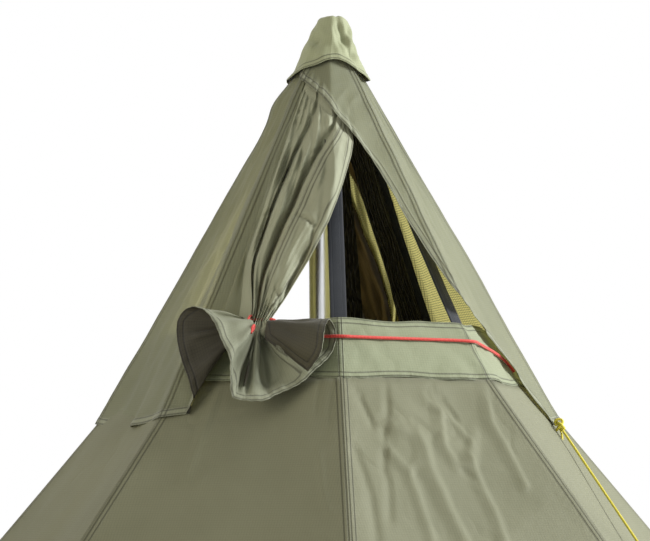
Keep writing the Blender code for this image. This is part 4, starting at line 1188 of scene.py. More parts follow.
    def fold_part(self, t: Array, levels: Array) -> Array:
        """Points of the folds above the tie.

        A column keeps its share of the width between the flat part and the free edge. It stands out of the
        hood's face by a section with two deep valleys, by single creases, and stays behind the other half.

        Args:
            t, levels: Shares of the way round the flap at each column, and up at each row.

        Returns:
            Grid of points.
        """
        high = (levels[self.tail_rows :] - self.tie_level) / (1.0 - self.tie_level)
        z = self.neck + (self.top - self.neck) * high
        table = np.array(FLAP_FOLDS).T
        right, depth, stand, first, second = (np.interp(z, table[0], row) for row in table[1:])
        corner = -HOOD.radius(z) * math.sin(SEAM_TURN)
        left, middle = corner * (SIDES - self.flat_end), corner * 0.78
        middle = middle + (self.neck_left + 0.1655) * (1.0 - ease(0.0, 0.25, high))
        tau = np.clip((t - self.neck_share) / (1.0 - self.neck_share), 0.0, 1.0)
        before = np.clip(t / self.neck_share, 0.0, 1.0)
        x = left + (middle - left) * before + (right - middle) * tau
        low_part = np.where(tau < first, 0.3 * tau / first, 0.3 + 0.3 * (tau - first) / (second - first))
        share = np.where(tau < second, low_part, 0.6 + 0.4 * (tau - second) / (1.0 - second))
        section = smooth_path(FOLD_SECTION, 8)
        wave = np.interp(share, section[:, 0], section[:, 1])
        wave = wave + 0.2 * ripples(tau * 0.3, z, self.seed + 5, 0.1)
        pleats = np.cos(2.0 * math.pi * 9.0 * tau) * 0.002 * (1.0 - ease(0.0, 0.11, high))
        out = (stand + wave * depth + pleats) * np.minimum(1.0, 12.0 * tau)
        for width, drop, line in FLAP_CREASES:
            out = out + drop * soft_crease(x, z, line, width)
        slack = 0.003 * before * (1.0 - tau) * ease(0.0, 0.3, 1.0 - high)
        out += slack * ripples(t * 0.6, z, self.seed + 6, 0.07)
        # Under the other half's diagonal hem, and in front of the webbing
        cover = np.array(DIAGONAL_HEM[4:9])[::-1]
        crown_x = (cover[:, 0] - self.crown_seam) * HOOD.radius(cover[:, 1]) * math.sin(SEAM_TURN)
        cover_x = np.interp(z, cover[:, 1], crown_x)
        cover_x = np.where(z > 2.367, -0.9 * (z - 2.367), cover_x) + 0.2 * ease(2.27, 2.255, z)
        free = np.maximum(0.0, 0.8 * (cover_x - 0.008 - x))
        out = np.minimum(out, self.behind_cover + free)
        gap = HOOD.radius(z) - WEBBING.radius(z) - self.webbing_gap
        out = np.maximum(out, -gap - 0.03 * ease(0.015, 0.03, np.abs(x)))
        return HOOD.front(x, z, out)

    def tail_part(self, t: Array, levels: Array) -> Array:
        """Points of the tail below the tie, on straight lines from behind the tie to the looped hem.

        Valleys are bell curves along the hem, pressed in between the tie and the hem. Near the flat part
        the tail passes over into it.

        Args:
            t, levels: Shares of the way round the flap at each column, and up at each row.

        Returns:
            Grid of points.
        """
        hem = resampled(smooth_path(TAIL_HEM, 8), self.flap_columns + 1)
        fan = hem[None] - np.array(TIE)
        reach = np.linalg.norm(fan, axis=-1)
        count = len(self.hem_levels)
        hem_rows = 1.0 - levels[:count] * self.wing_height / np.maximum(reach, 0.05)
        rest = (levels[count : self.tail_rows] - levels[count - 1]) / (self.tie_level - levels[count - 1])
        low = np.concatenate([hem_rows, hem_rows[-1:] + (self.start_share - hem_rows[-1:]) * rest])
        cone = np.array(TIE) + fan * low[..., None]
        # Cloth that turns back under the tail leaves the tie more slowly
        behind = ease(-0.006, -0.014, hem[:, 2])
        slow = low * (1.0 - behind) + ease(self.start_share - 0.01, 0.34, low) * behind
        cone[..., 2] = TIE[2] + fan[..., 2] * slow
        spot = run_of(hem)
        last_quarter = 0.05 * (spot > 0.75 * spot[-1])
        between = ease(self.start_share, 0.4, low) * (1.0 - ease(0.72, 1.0, low))
        for foot, width, depth in TAIL_VALLEYS:
            centre = spot[np.argmin(np.linalg.norm(hem[:, :2] - foot, axis=-1) + last_quarter)]
            valley = np.exp(-(((spot - centre) / width) ** 2)) * between
            floor = np.minimum(cone[..., 2], self.deepest_valley)
            cone[..., 2] = np.maximum(cone[..., 2] - depth * valley, floor)
        cone[..., 1] -= 0.02 * ease(0.93, 1.0, t) * (1.0 - low)
        cone_points = HOOD.front(cone[..., 0], cone[..., 1], cone[..., 2])
        flat_z = self.foot + self.wing_height * levels[: self.tail_rows]
        flat = HOOD.front(-HOOD.radius(flat_z) * math.sin(SEAM_TURN) * (SIDES - self.flat_end), flat_z)
        join = ease(0.0, self.neck_share, t)
        tail = flat * (1.0 - join[..., None]) + cone_points * join[..., None]
        spread = np.sin(math.pi * np.clip((1.0 - low) / (1.0 - self.start_share), 0.0, 1.0) ** 0.7)
        pleats = np.cos(2.0 * math.pi * 15.0 * t + 1.2 * np.sin(9.0 * t)) * 0.0022
        pleats = pleats + 0.0016 * ripples(t * 0.6, low * 0.1, 4, 0.05)
        pucker = 0.0007 * np.sin(2.0 * math.pi * 46.0 * t) * np.exp(-(((1.0 - low) / 0.1) ** 2))
        return tail + outward(tail) * ((pleats * spread + pucker) * join)[..., None]

    def valley_place(self, height: Array) -> Array:
        """Share of the flap's width at which its second deep valley lies, at each height."""
        return np.interp(height, [row[0] for row in FLAP_FOLDS], [row[5] for row in FLAP_FOLDS])

    def flap_seam(self, flap: Array, run: Array) -> Array:
        """Distance to the seam that joins the flap's front strip, and the run up it.

        Args:
            flap: Grid of the flap's points.
            run: Length up each column.

        Returns:
            Both values at each quad's corners.
        """
        t = np.linspace(0.0, 1.0, flap.shape[1])[None]
        seam = self.neck_share + (1.0 - self.neck_share) * (self.valley_place(flap[:, :1, 2]) + 0.09)
        away = np.where(t > seam, (t - seam) * self.folded_width, (seam - t) * 2.0)
        return quad_corners(joined(away + 0.1 * (flap[..., 2] < self.neck + 0.02), run))

    def flap_slots(self, flap: Array) -> Array:
        """Material slot of each of the flap's quads.

        Args:
            flap: Grid of the flap's points.

        Returns:
            0 for the single cloth of the hood, 2 for folds, with painted light outside and painted shade
            inside, 4 for the doubled cloth of the tail.
        """
        t = (np.arange(flap.shape[1] - 1) + 0.5)[None] / (flap.shape[1] - 1)
        tau = (t - self.neck_share) / (1.0 - self.neck_share)
        valley = self.valley_place(flap[:-1, :1, 2])
        # On the back half a strip before the second valley keeps the hood's own cloth, so light comes through
        # there; the rest of the folds carries painted shade inside
        strip = (tau > valley - 0.22) & (tau < valley - 0.01)
        single = (tau < -0.04) | (strip & self.turned)
        slots = np.where(single, 0, 2).astype(np.int32)
        slots[: self.tail_rows - 1, 2:] = 4
        return slots

    def build(self) -> Piece:
        """Joins both parts in one sheet, raises its hems, and dresses it.

        Returns:
            The hood half.
        """
        place, height, flat = self.flat_part()
        t, levels = np.linspace(0.0, 1.0, self.flap_columns + 1)[None], self.levels()
        flap = np.concatenate([self.tail_part(t, levels), self.fold_part(t, levels)])
        flap[:, 0] = flat[:, -1]
        points = np.concatenate([flat, flap[:, 1:]], axis=1)
        hem = nearest_edge(points, np.concatenate([points[0], points[1:-4, -1]]))
        points = hem_raise(points, hem, 0.0008, 0.0112, 0.0138)
        climb = np.cumsum(np.linalg.norm(np.diff(flap, axis=0), axis=-1), axis=0)
        run = np.concatenate([np.zeros_like(climb[:1]), climb])
        maps = panel_maps(HOOD, place, height)
        # No stitches show where the crown has no seam
        crown = np.abs(place[:-1, :-1] - 3.98)[..., None, None] < 0.52
        seam = np.where(crown, 0.1, maps["Seam"])
        maps = {
            "Grain": np.concatenate([maps["Grain"], quad_corners(joined(t * self.flap_width, run))], axis=1),
            "Seam": np.concatenate([seam, self.flap_seam(flap, run)], axis=1),
            "Hem": hem,
        }
        if self.turned:
            points = half_turned(points)
        piece = add_piece("hood_%s_half" % self.word, points, maps)
        for cloth in (HOOD_OUTSIDE, HOOD_INSIDE_SHADED, FLAP_OUTSIDE_LIT, FLAP_INSIDE_SHADED, DOUBLED_OUTSIDE, DOUBLED_INSIDE_SHADED):
            piece.data.materials.append(cloth)
        flat_slots = np.zeros((len(flat) - 1, flat.shape[1] - 1), dtype=np.int32)
        slots = np.concatenate([flat_slots, self.flap_slots(flap)], axis=1)
        slots[:3] = 4
        piece.data.polygons.foreach_set("material_index", slots.ravel())
        thicken(piece, CLOTH_THICKNESS)
        piece.modifiers["Thickness"].material_offset = 1
        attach(piece, "tent")
        nodes = ["hood_%s_%s" % (self.word, part) for part in ("crown", "wing", "side", "rear")]
        nodes += ["vent_flap_%s_%s" % (self.flap, part) for part in ("folds", "tail")]
        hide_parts(*nodes)
        return piece


# Hem of the cap, which arches over each half of the hood: degrees round from the middle of the arch, height
CAP_HEM = (
    (-90.0, 2.4375), (-76.0, 2.4395), (-60.0, 2.4435), (-42.0, 2.448), (-21.0, 2.4535), (-6.0, 2.4598),
    (10.0, 2.462), (24.0, 2.458), (43.0, 2.449), (58.0, 2.4415), (74.0, 2.4345), (90.0, 2.4375),
)
# Upright section of the cap: height, radius at its seams
CAP_SECTION = (
    (2.42, 0.0765), (2.437, 0.069), (2.446, 0.0632), (2.461, 0.0562), (2.4755, 0.05), (2.49, 0.0432),
    (2.508, 0.0362), (2.52, 0.0315), (2.531, 0.0268), (2.5375, 0.0238), (2.541, 0.0195), (2.5425, 0.015),
)
# Folds of the cap: from and to, degrees round and height, then width in degrees and depth
CAP_FOLDS = (
    ((14.0, 2.538), (58.0, 2.442), 9.0, -0.0052), ((30.0, 2.538), (76.0, 2.442), 12.0, 0.004),
    ((2.0, 2.52), (30.0, 2.46), 7.0, -0.0024), ((-8.0, 2.526), (22.0, 2.466), 8.0, 0.0022),
    ((-52.0, 2.52), (-18.0, 2.46), 11.0, -0.0022), ((-70.0, 2.506), (-30.0, 2.496), 10.0, -0.0026),
    ((-80.0, 2.49), (-45.0, 2.483), 10.0, 0.0026), ((-30.0, 2.472), (-8.0, 2.462), 8.0, 0.003),
    ((110.0, 2.535), (124.0, 2.436), 12.0, -0.0036), ((150.0, 2.52), (176.0, 2.456), 10.0, 0.0028),
    ((196.0, 2.536), (216.0, 2.464), 9.0, -0.003), ((236.0, 2.53), (232.0, 2.448), 12.0, 0.0034),
    ((262.0, 2.51), (246.0, 2.44), 9.0, -0.003),
)


@dataclass
class TopCap:
    """Slack cloth cap over the hub: an eight-sided cone with a few soft folds and a blunt, creased top."""

    rows: int = 60
    columns: int = 240
    side_share: float = 0.88
    metres_per_degree: float = 0.0008
    thickness: float = 0.0012

    def folds(self, degrees: Array, height: Array) -> Array:
        """How far the cap's own folds stand out, each a soft crease over the height and the degrees round.

        Args:
            degrees, height: Grids of degrees round the cap and of heights.

        Returns:
            Metres out of the cone.
        """
        scale, push = self.metres_per_degree, np.zeros_like(height)
        for start, end, width, depth in CAP_FOLDS:
            middle = (start[0] + end[0]) / 2.0
            turn = (degrees - middle + 180.0) % 360.0 - 180.0
            foot, head = (((place - middle) * scale, level) for place, level in (start, end))
            push = push + depth * ridge(turn * scale, height, foot, head, width * scale)
        return push

    def build(self) -> Piece:
        """Rings from the arched hem up the cone and in over its top, with the folds pressed in.

        Returns:
            The cap.
        """
        t = np.linspace(0.0, 1.0, self.rows)[:, None]
        place = np.linspace(0.0, SIDES, self.columns + 1)[None]
        degrees, share, angle = place * 360.0 / SIDES, place - np.floor(place), place * SEAM_TURN
        arch, section = smooth_path(CAP_HEM, 6), smooth_path(CAP_SECTION, 6)
        hem_height = np.interp((degrees + 90.0) % 180.0 - 90.0, arch[:, 0], arch[:, 1])
        climb = np.clip(t / self.side_share, 0.0, 1.0)
        close = np.clip((t - self.side_share) / (1.0 - self.side_share), 0.0, 1.0)
        height = hem_height + (section[-1, 0] - hem_height) * climb
        # Eight-sided at the hem, nearly round at the top, which leans to the right
        side = np.cos(math.pi / SIDES) / np.cos((share - 0.5) * SEAM_TURN)
        side = side + (1.0 - side) * (0.5 + 0.5 * ease(2.45, 2.52, height))
        radius = np.interp(height, section[:, 0], section[:, 1]) * (1.0 - close) * side
        lean = 0.0075 * np.clip((height - 2.445) / 0.098, 0.0, 1.0) ** 1.3
        shape = joined(radius * np.sin(angle) + lean, -radius * np.cos(angle), height - 0.003 * close**2)
        push = 0.0016 * ripples(0.05 * np.sin(angle), height + 0.05 * np.cos(angle), 33, 0.035)
        push = push - 0.0016 * 4.0 * share * (1.0 - share) * np.sin(math.pi * climb)
        push = push + self.folds(degrees, height)
        rise = height - hem_height
        push = push * (1.0 - 0.85 * close) * (0.35 + 0.65 * ease(0.0, 0.022, rise))
        push = push * (1.0 - 0.65 * ease(2.512, 2.538, height))
        points = shape + outward(shape, wraps=True) * push[..., None]
        points[-1] = points[-1].mean(axis=0)
        hem = joined(rise * 1.12 + close * 0.02, place * 0.055)
        points = hem_raise(points, hem, 0.0009, 0.0112, 0.0138, wraps=True)
        points[-1] = points[-1].mean(axis=0)
        maps = panel_maps(CAP, np.broadcast_to(place, rise.shape), height)
        maps["Seam"] = np.full_like(maps["Seam"], 0.1)
        piece = add_piece("slack_top_cap", points, {**maps, "Hem": hem}, wraps=True, weld=True)
        piece.data.materials.append(CAP_CLOTH)
        # Its inside is the darkened doubled cloth, as painted shade under the cap
        thicken(piece, self.thickness, DOUBLED_INSIDE_SHADED)
        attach(piece, "tent")
        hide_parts("top_cap")
        return piece


# Body, band, webbings and nets


# The door's foot and head, then how far its edges lie from the wall's middle at both: hinge and zip
DOOR_LOW = 0.015
DOOR_HIGH = 1.4
DOOR_HINGE = (-0.6, -0.19)
DOOR_ZIP = (0.59, 0.12)
HINGE_GAP = 0.001
ZIP_GAP = 0.0108


def door_place(line: tuple[float, float], height: Any, shift: float = 0.0) -> Any:
    """Place in seams of a straight door edge, measured from the middle of the front wall.

    Args:
        line: Distances of its foot and head from the wall's middle.
        height: Heights above the ground.
        shift: How far the edge is moved to the right.

    Returns:
        The places.
    """
    low = np.minimum(height, DOOR_HIGH)
    across = line[0] + (line[1] - line[0]) * (low - DOOR_LOW) / (DOOR_HIGH - DOOR_LOW)
    return 7.5 + (across + shift) / BODY.side(low)


# Sharp creases of the taut body by wall, in millimetres: width, depth, then points across and up its slope
BODY_CREASES = (
    ((0, 4), crease_table(
        (14, -3, -51, 2513, -69, 2438, -88, 2396, -108, 2334, -108, 2305, -126, 2241),
        (30, 6, -73, 2417, -33, 2404, -29, 2377, -33, 2334, -27, 2294, -26, 2259, -10, 2150),
        (16, 3.6, -11, 2472, 18, 2448, 42, 2417, 53, 2390),
        (14, -3.4, 20, 2485, 39, 2452, 46, 2428),
        (22, 4.2, 18, 2444, 4, 2377, 16, 2340, 40, 2353, 62, 2401),
        (22, 4, 42, 2353, 43, 2304, 50, 2258, 44, 2180),
        (12, -2.4, 16, 2340, 41, 2308),
        (20, 3.6, 109, 2492, 99, 2425, 107, 2378, 113, 2300),
        (20, 4, -92, 2376, -70, 2330, -69, 2274, -72, 2180),
        (14, -3.6, -117, 2510, -107, 2473, -101, 2415),
        (18, -3.4, -144, 2364, -143, 2290, -160, 2190),
        (10, 2, -70, 2330, -48, 2356),
    )),
    ((3, 7), crease_table(
        (8, 2.2, 124, 2421, 139, 2388),
        (10, 2.6, 123, 2360, 146, 2286, 161, 2255),
        (16, 3.4, -60, 2515, -68, 2425, -75, 2320),
        (9, -2.6, 96, 2502, 103, 2443),
        (9, -2.6, 117, 2502, 129, 2405),
        (8, 2.2, -51, 2299, -50, 2322, -35, 2333),
        (14, -1.8, -70, 2428, -18, 2443),
    )),
)


# All creases of that table are pressed in deeper and narrower by these shares
CREASE_DEPTH = 1.3
CREASE_WIDTH = 0.8


def body_surface(place: Array, height: Array) -> Array:
    """Points of the taut body cloth: the flat walls pulled in between their seams and softly creased.

    Args:
        place, height: Grids of places in seams and of heights.

    Returns:
        The grid's points.
    """
    side = np.floor(place - 1e-9)
    share = place - side
    belly = 4.0 * share * (1.0 - share)
    length = BODY.side(height)
    up = height * 1.3
    across = (share - 0.5) * length
    spread = across + side * 2.3
    calm = (0.15 + 0.85 * belly) * ease(0.0, 0.12, height)
    sag = 0.014 * np.sin(math.pi * np.clip(height / 1.93, 0.0, 1.0)) ** 0.8 + 0.0022
    fold = 0.0028 * ripples(spread * 1.2, up * 0.35, 5, 0.24) + 0.004 * ripples(spread, up * 0.4, 6, 0.75)
    fold += 0.0016 * creases(spread * 0.9, up * 0.5, 7, 0.17) * ease(0.9, 1.5, height)
    below_band = 1.93 - height
    fan = np.cos(2.0 * math.pi * (3.5 * share + 0.3 * side)) * np.exp(-below_band / 0.1) * 0.0018
    drape = np.zeros_like(fold)
    for walls, lines in BODY_CREASES:
        here = np.isin(side, walls) * CREASE_DEPTH
        for width, depth, line in lines:
            drape = drape + here * depth * sharp_crease(across, up, line, CREASE_WIDTH * width)
    edge = 1.0 - 0.75 * ease(0.035, 0.0, below_band)
    out = (-sag * belly + (fold + fan) * calm + drape) * edge
    return BODY.point(place, height, out)


@dataclass
class BodyWalls:
    """The eight walls of the body as one cloth, with the doorway left open in it, and the door's leaf."""

    columns: int = 26
    front_columns: int = 78
    doorway_columns: tuple[int, int, int] = (20, 34, 20)
    slant: float = 1.302

    def heights(self) -> Array:
        """Rows: close together in the hem and near the band, with one on each end of the doorway.

        Returns:
            Heights from the ground to the band.
        """
        hem, head = (0.0, 0.004, DOOR_LOW, 0.026, 0.04), (1.385, DOOR_HIGH, 1.412)
        lower, upper = np.linspace(0.07, 1.36, 40), np.linspace(1.43, 1.895, 82)
        return np.concatenate([hem, lower, head, upper, (1.908, 1.9185, 1.93)])

    def places(self, z: Array) -> Array:
        """Columns: even on seven walls, and along the door's edges on the eighth.

        Args:
            z: Heights of the rows, as a column.

        Returns:
            Grid of places in seams.
        """
        front = np.linspace(0.0, 1.0, self.front_columns, endpoint=False)
        rest = np.linspace(1.0, 7.0, 6 * self.columns, endpoint=False)
        walls = [np.concatenate([front, rest])[None].repeat(len(z), axis=0)]
        hinge = door_place(DOOR_HINGE, z, -HINGE_GAP)
        latch = door_place(DOOR_ZIP, z, ZIP_GAP)
        marks = ((7.0, hinge), (hinge, latch), (latch, 8.0))
        for (start, end), count in zip(marks, self.doorway_columns):
            walls.append(start + (end - start) * np.linspace(0.0, 1.0, count, endpoint=False))
        return np.concatenate([*walls, np.full_like(z, 8.0)], axis=1)

    def doorway_edge(self) -> Array:
        """Points round the doorway, from its foot up, across and down.

        Returns:
            The points.
        """
        z = np.linspace(0.0, DOOR_HIGH, 60)
        up = body_surface(door_place(DOOR_HINGE, z, -HINGE_GAP), z)
        down = body_surface(door_place(DOOR_ZIP, z[::-1], ZIP_GAP), z[::-1])
        return np.concatenate([up, down])

    def build_walls(self) -> Piece:
        """One sheet round the tent, without the quads of the doorway.

        Returns:
            The walls.
        """
        z = self.heights()[:, None]
        place = self.places(z)
        height = np.broadcast_to(z, place.shape)
        points = body_surface(place, height)
        points[:, -1] = points[:, 0]
        hem = nearest_edge(points, self.doorway_edge(), 0.004)
        foot = joined(height * self.slant, place * BODY.side(height))
        hem = np.where(foot[..., :1] < hem[..., :1], foot, hem)
        start = self.front_columns + 6 * self.columns + self.doorway_columns[0]
        sill = int(np.argmin(np.abs(z - DOOR_HIGH)))
        keep = np.ones((points.shape[0] - 1, points.shape[1] - 1), dtype=bool)
        keep[:sill, start : start + self.doorway_columns[1]] = False
        maps = {**panel_maps(BODY, place, height), "Hem": hem}
        piece = add_piece("body_walls", points, maps, wraps=True, keep=keep)
        piece.data.materials.append(BODY_OUTSIDE)
        thicken(piece, CLOTH_THICKNESS, BODY_INSIDE_SHADED)
        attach(piece, "tent")
        nodes = ["wall_panel_%d" % number for number in range(1, SIDES)]
        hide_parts(*nodes, "door_wall_left", "door_wall_right", "door_wall_top")
        return piece

    def build_door(self) -> Piece:
        """The leaf, on the same surface as the walls, with its own double-stitched hem all round.

        Returns:
            The leaf.
        """
        z = self.heights()
        z = z[(z >= DOOR_LOW) & (z < DOOR_HIGH)]
        z = np.concatenate([z, [DOOR_HIGH - 0.0008]])[:, None]
        edge = np.array((0.0, 0.01, 0.022, 0.035))
        share = np.concatenate([edge, np.linspace(0.06, 0.94, 20), 1.0 - edge[::-1]])[None]
        start, end = door_place(DOOR_HINGE, z), door_place(DOOR_ZIP, z)
        place = start + (end - start) * share
        height = np.broadcast_to(z, place.shape)
        points = body_surface(place, height)
        rim = np.concatenate([points[:, 0], points[-1], points[::-1, -1], points[0, ::-1]])
        hem = nearest_edge(points, rim, 0.003)
        points = hem_raise(points, hem, 0.0009, 0.02, 0.026)
        grain = panel_maps(BODY, place, height)["Grain"]
        maps = {"Grain": grain, "Seam": np.full_like(grain, 0.1), "Hem": hem}
        piece = add_piece("door_leaf_cloth", points, maps)
        piece.data.materials.append(BODY_OUTSIDE)
        thicken(piece, CLOTH_THICKNESS, BODY_INSIDE_SHADED)
        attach(piece, "door")
        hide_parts("door_leaf")
        return piece


@dataclass
class ZipFastener:
    """Coil zip of the door: a woven tape with two rows of nylon coils that meet in its middle."""

    pitch: float = 0.0034
    wire: float = 0.00055
    reach: float = 0.0021
    tape_width: float = 0.01
    tape_thickness: float = 0.0008
    gap: float = 0.0004

    def build(self) -> list[Piece]:
        """The tape follows the wall beside the leaf; the coils are one wire that goes round and round.

        Returns:
            The tape and the coils.
        """
        z = np.linspace(DOOR_LOW + 0.002, DOOR_HIGH - 0.003, 80)[:, None]
        share = np.linspace(0.0, 1.0, 7)[None]
        start, end = (door_place(DOOR_ZIP, z, self.gap + width) for width in (0.0, self.tape_width))
        place = start + (end - start) * share
        tape = body_surface(place, np.broadcast_to(z, place.shape))
        # The wall hardly sags at its foot, so the chain is set back there, under the slider's straight path
        tape = tape - outward(tape) * (0.0018 * (1.0 - ease(0.1, 0.4, z)))[..., None]
        middle = tape[:, 3]
        out = unit(outward(tape)[:, 3])
        across = unit(tape[:, -1] - tape[:, 0]).mean(axis=0)
        tape = tape + out[:, None] * 0.0004
        grain = joined((share - 0.5) * self.tape_width, z)
        ribbon = add_piece("door_zip_tape", tape, {"Grain": grain, "Hem": np.full_like(grain, 0.5)})
        ribbon.data.materials.append(GREY_WEBBING)
        thicken(ribbon, self.tape_thickness)
        turns = int(run_of(middle)[-1] / self.pitch)
        t = np.linspace(0.0, 1.0, turns * 8 + 1)
        place_on = np.linspace(0.0, 1.0, len(middle))
        line = joined(*(np.interp(t, place_on, values) for values in middle.T))
        angle = t * turns * 2.0 * math.pi
        swing = across * (np.sin(angle) * self.reach)[:, None]
        rise = out.mean(axis=0) * (0.0012 + 0.0007 * np.cos(2.0 * angle))[:, None]
        coil = add_tube("door_zip_coils", line + swing + rise, self.wire, 5)
        coil.data.materials.append(NYLON)
        for piece in (ribbon, coil):
            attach(piece, "tent")
        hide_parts("door_zip_chain")
        return [ribbon, coil]


@dataclass
class VentBand:
    """Band at the sill of the vent: a folded, double-stitched strip, softly wavy along both edges."""

    columns: int = 30
    low: float = 1.929
    width: float = 0.0905
    thickness: float = 0.003

    def build(self) -> Piece:
        """A flattened ring: up the outer face, over the rounded top, down the inner face and back.

        Returns:
            The band.
        """
        turn = 2.0 * math.pi * np.linspace(0.0, 1.0, 33)[:, None]
        rise = np.clip(0.5 - 0.62 * np.cos(turn), 0.0, 1.0)
        skin = np.sign(np.sin(turn)) * np.abs(np.sin(turn)) ** 0.35
        place = np.linspace(0.0, SIDES, SIDES * self.columns + 1)[None]
        u, w = 0.3 * np.sin(place * SEAM_TURN), 0.3 * np.cos(place * SEAM_TURN)
        wavy = 0.0011 * ripples(u, w, 41, 0.09) * (rise * 2.0 - 1.0)
        height = self.low + self.width * rise + wavy
        out = 0.001 + (skin - 1.0) * self.thickness / 2.0
        out = out + 0.0011 * ripples(u + height, w, 42, 0.05) + 0.0009 * creases(u, w + height, 43, 0.06)
        points = BAND.point(place, height, out)
        points[:, -1] = points[:, 0]
        points[-1] = points[0]
        # Metres up the slanting face, of 0.106 m, and along it, of 0.23 m from seam to seam
        up = 0.106 * rise
        hem = joined(np.minimum(up, 0.106 - up), place * 0.23)
        even = np.broadcast_to(BAND.low_height + 0.09 * rise, height.shape)
        maps = panel_maps(BAND, np.broadcast_to(place, height.shape), even)
        piece = add_piece("vent_sill_band", points, {**maps, "Hem": hem}, wraps=True, weld=True)
        piece.data.materials.append(BAND_CLOTH)
        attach(piece, "tent")
        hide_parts("vent_band")
        return piece


@dataclass
class SeamWebbings:
    """Eight woven webbings that bridge the vent from the hub to the band, one at each seam."""

    width: float = 0.025
    low: float = 1.985
    high: float = 2.461
    length: float = 0.538
    thickness: float = 0.0015

    def strip(self, seam: int) -> Piece:
        """One webbing: a flat strip along its seam's line, bowed by a sine and slightly cupped.

        Args:
            seam: Number of its seam.

        Returns:
            The strip without its finish.
        """
        up = np.linspace(0.0, 1.0, 72)[:, None]
        across = np.linspace(-0.5, 0.5, 11)[None]
        height = self.low + (self.high - self.low) * up
        bow = np.sin(math.pi * up)
        radius = WEBBING.radius(height) - 0.0012 * bow + 0.0011 * (1.0 - (2.0 * across) ** 2) * bow
        radius = radius + 0.0006 * ripples(across * 0.02, height, 60 + seam, 0.12) * bow
        offset, run = across * self.width, up * self.length
        points = beside_seam(seam, radius, offset, height)
        maps = {"Grain": joined(offset, run), "Hem": joined(run, offset)}
        return add_piece("vent_webbing_%d" % (seam + 1), points, maps)

    def build(self) -> list[Piece]:
        """All eight strips, dressed.

        Returns:
            The strips.
        """
        pieces = []
        for seam in range(SIDES):
            piece = self.strip(seam)
            piece.data.materials.append(GREY_WEBBING)
            thicken(piece, self.thickness)
            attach(piece, "tent")
            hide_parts("seam_webbing_%d" % (seam + 1))
            pieces.append(piece)
        return pieces


@dataclass
class InsectNets:
    """Two insect nets, gathered in deep pleats behind one webbing each; the back one is half drawn."""

    depth: float = 0.008
    low: float = 1.985
    length: float = 0.469
    thickness: float = 0.0007

    def build(self) -> list[Piece]:
        """Both gathered nets, and the half of the back one that is drawn part of the way.

        Returns:
            The nets.
        """
        rows = (
            ("gathered_net_back", "back", 3, 0.002, 0.04, 5.0, 0.3),
            ("gathered_net_front", "front", 7, 0.002, 0.04, 5.0, 0.3),
            ("half_drawn_net_back", "back", 4, -0.079, 0.004, 8.0, 0.74),
        )
        return [self.strand(*row) for row in rows]

    def strand(
        self, name: str, word: str, seam: int, left: float, right: float, count: float, taper: float
    ) -> Piece:
        """One hanging net: pleats are a rounded square wave across it, and it narrows upwards.

        Args:
            name: Name of the piece.
            word: Which net it is part of.
            seam: Seam whose webbing it is sewn to.
            left: Its left edge, across the webbing.
            right: Its right edge, across the webbing.
            count: How many pleats it has.
            taper: Share of its width that it has lost at the top.

        Returns:
            The dressed net.
        """
        up = np.linspace(0.0, 1.0, 60)[:, None]
        t = np.linspace(0.0, 1.0, int(count * 19) + 1)[None]
        height = self.low + self.length * up
        grow = 1.0 - taper * up
        pleat = 2.0 * math.pi * (count * t + 0.1 * np.sin(6.0 * up))
        inset = self.depth * grow * (0.5 - 0.5 * np.tanh(1.6 * np.cos(pleat)) / 0.92) * 0.75
        offset = left + (right - left) * (t + 0.035 * np.sin(2.0 * pleat))
        offset = (offset + 0.0012 * ripples(t, height, 70 + seam, 0.15)) * grow
        reach = WEBBING.radius(height) - 0.003 - inset - np.abs(offset) * HALF_TURN_TAN
        grain = joined(t * 0.16, up * 0.53)
        piece = add_piece(name, beside_seam(seam, reach, offset, height), {"Grain": grain})
        piece.data.materials.append(NET)
        thicken(piece, self.thickness)
        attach(piece, "tent")
        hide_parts("insect_net_%s" % word)
        return piece


@dataclass
class HemWebbing:
    """Webbing sewn round the foot of the body, drawn out into a peg loop at each seam."""

    low: float = 0.003
    width: float = 0.02
    reach: float = 0.06
    half: float = 0.011
    gap: float = 0.0012
    thickness: float = 0.0014

    def line(self) -> Array:
        """Its line along each wall and round a rounded loop at each seam, open in front of the door.

        Returns:
            Points of the line.
        """
        arc = np.linspace(-0.5 * math.pi, 0.5 * math.pi, 13)
        across = np.concatenate([[-self.half], self.half * np.sin(arc), [self.half]])
        out = np.concatenate([[0.0], self.reach - self.half + self.half * np.cos(arc), [0.0]])
        corner = np.abs(across) * HALF_TURN_TAN * (out == 0.0)
        reach = BODY.radius(self.low) + self.gap + out - corner
        loops = beside_seam(np.arange(SIDES)[:, None], reach, across, self.low).reshape(-1, 3)
        hinge = BODY.point(door_place(DOOR_HINGE, DOOR_LOW) - 0.02, self.low, self.gap)
        latch = BODY.point(door_place(DOOR_ZIP, DOOR_LOW) + 0.03, self.low, self.gap)
        return np.concatenate([latch[None], loops, hinge[None]])

    def build(self) -> Piece:
        """One strip set upright on its line, which leans back with the wall.

        Returns:
            The webbing.
        """
        lean = (BODY.low_radius - BODY.high_radius) / BODY.high_height
        line = self.line()
        fine = resampled(line, int(run_of(line)[-1] / 0.006))
        up = np.linspace(0.0, 1.0, 5)[:, None, None]
        plan = unit(fine * np.array((1.0, 1.0, 0.0)))
        points = fine[None] + up * (UP * self.width - plan[None] * self.width * lean)
        grain = joined((up[..., 0] - 0.5) * self.width, run_of(fine)[None])
        piece = add_piece("hem_webbing_strip", points, {"Grain": grain, "Hem": np.full_like(grain, 0.5)})
        piece.data.materials.append(GREY_WEBBING)
        thicken(piece, self.thickness)
        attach(piece, "tent")
        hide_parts("hem_webbing")
        return piece


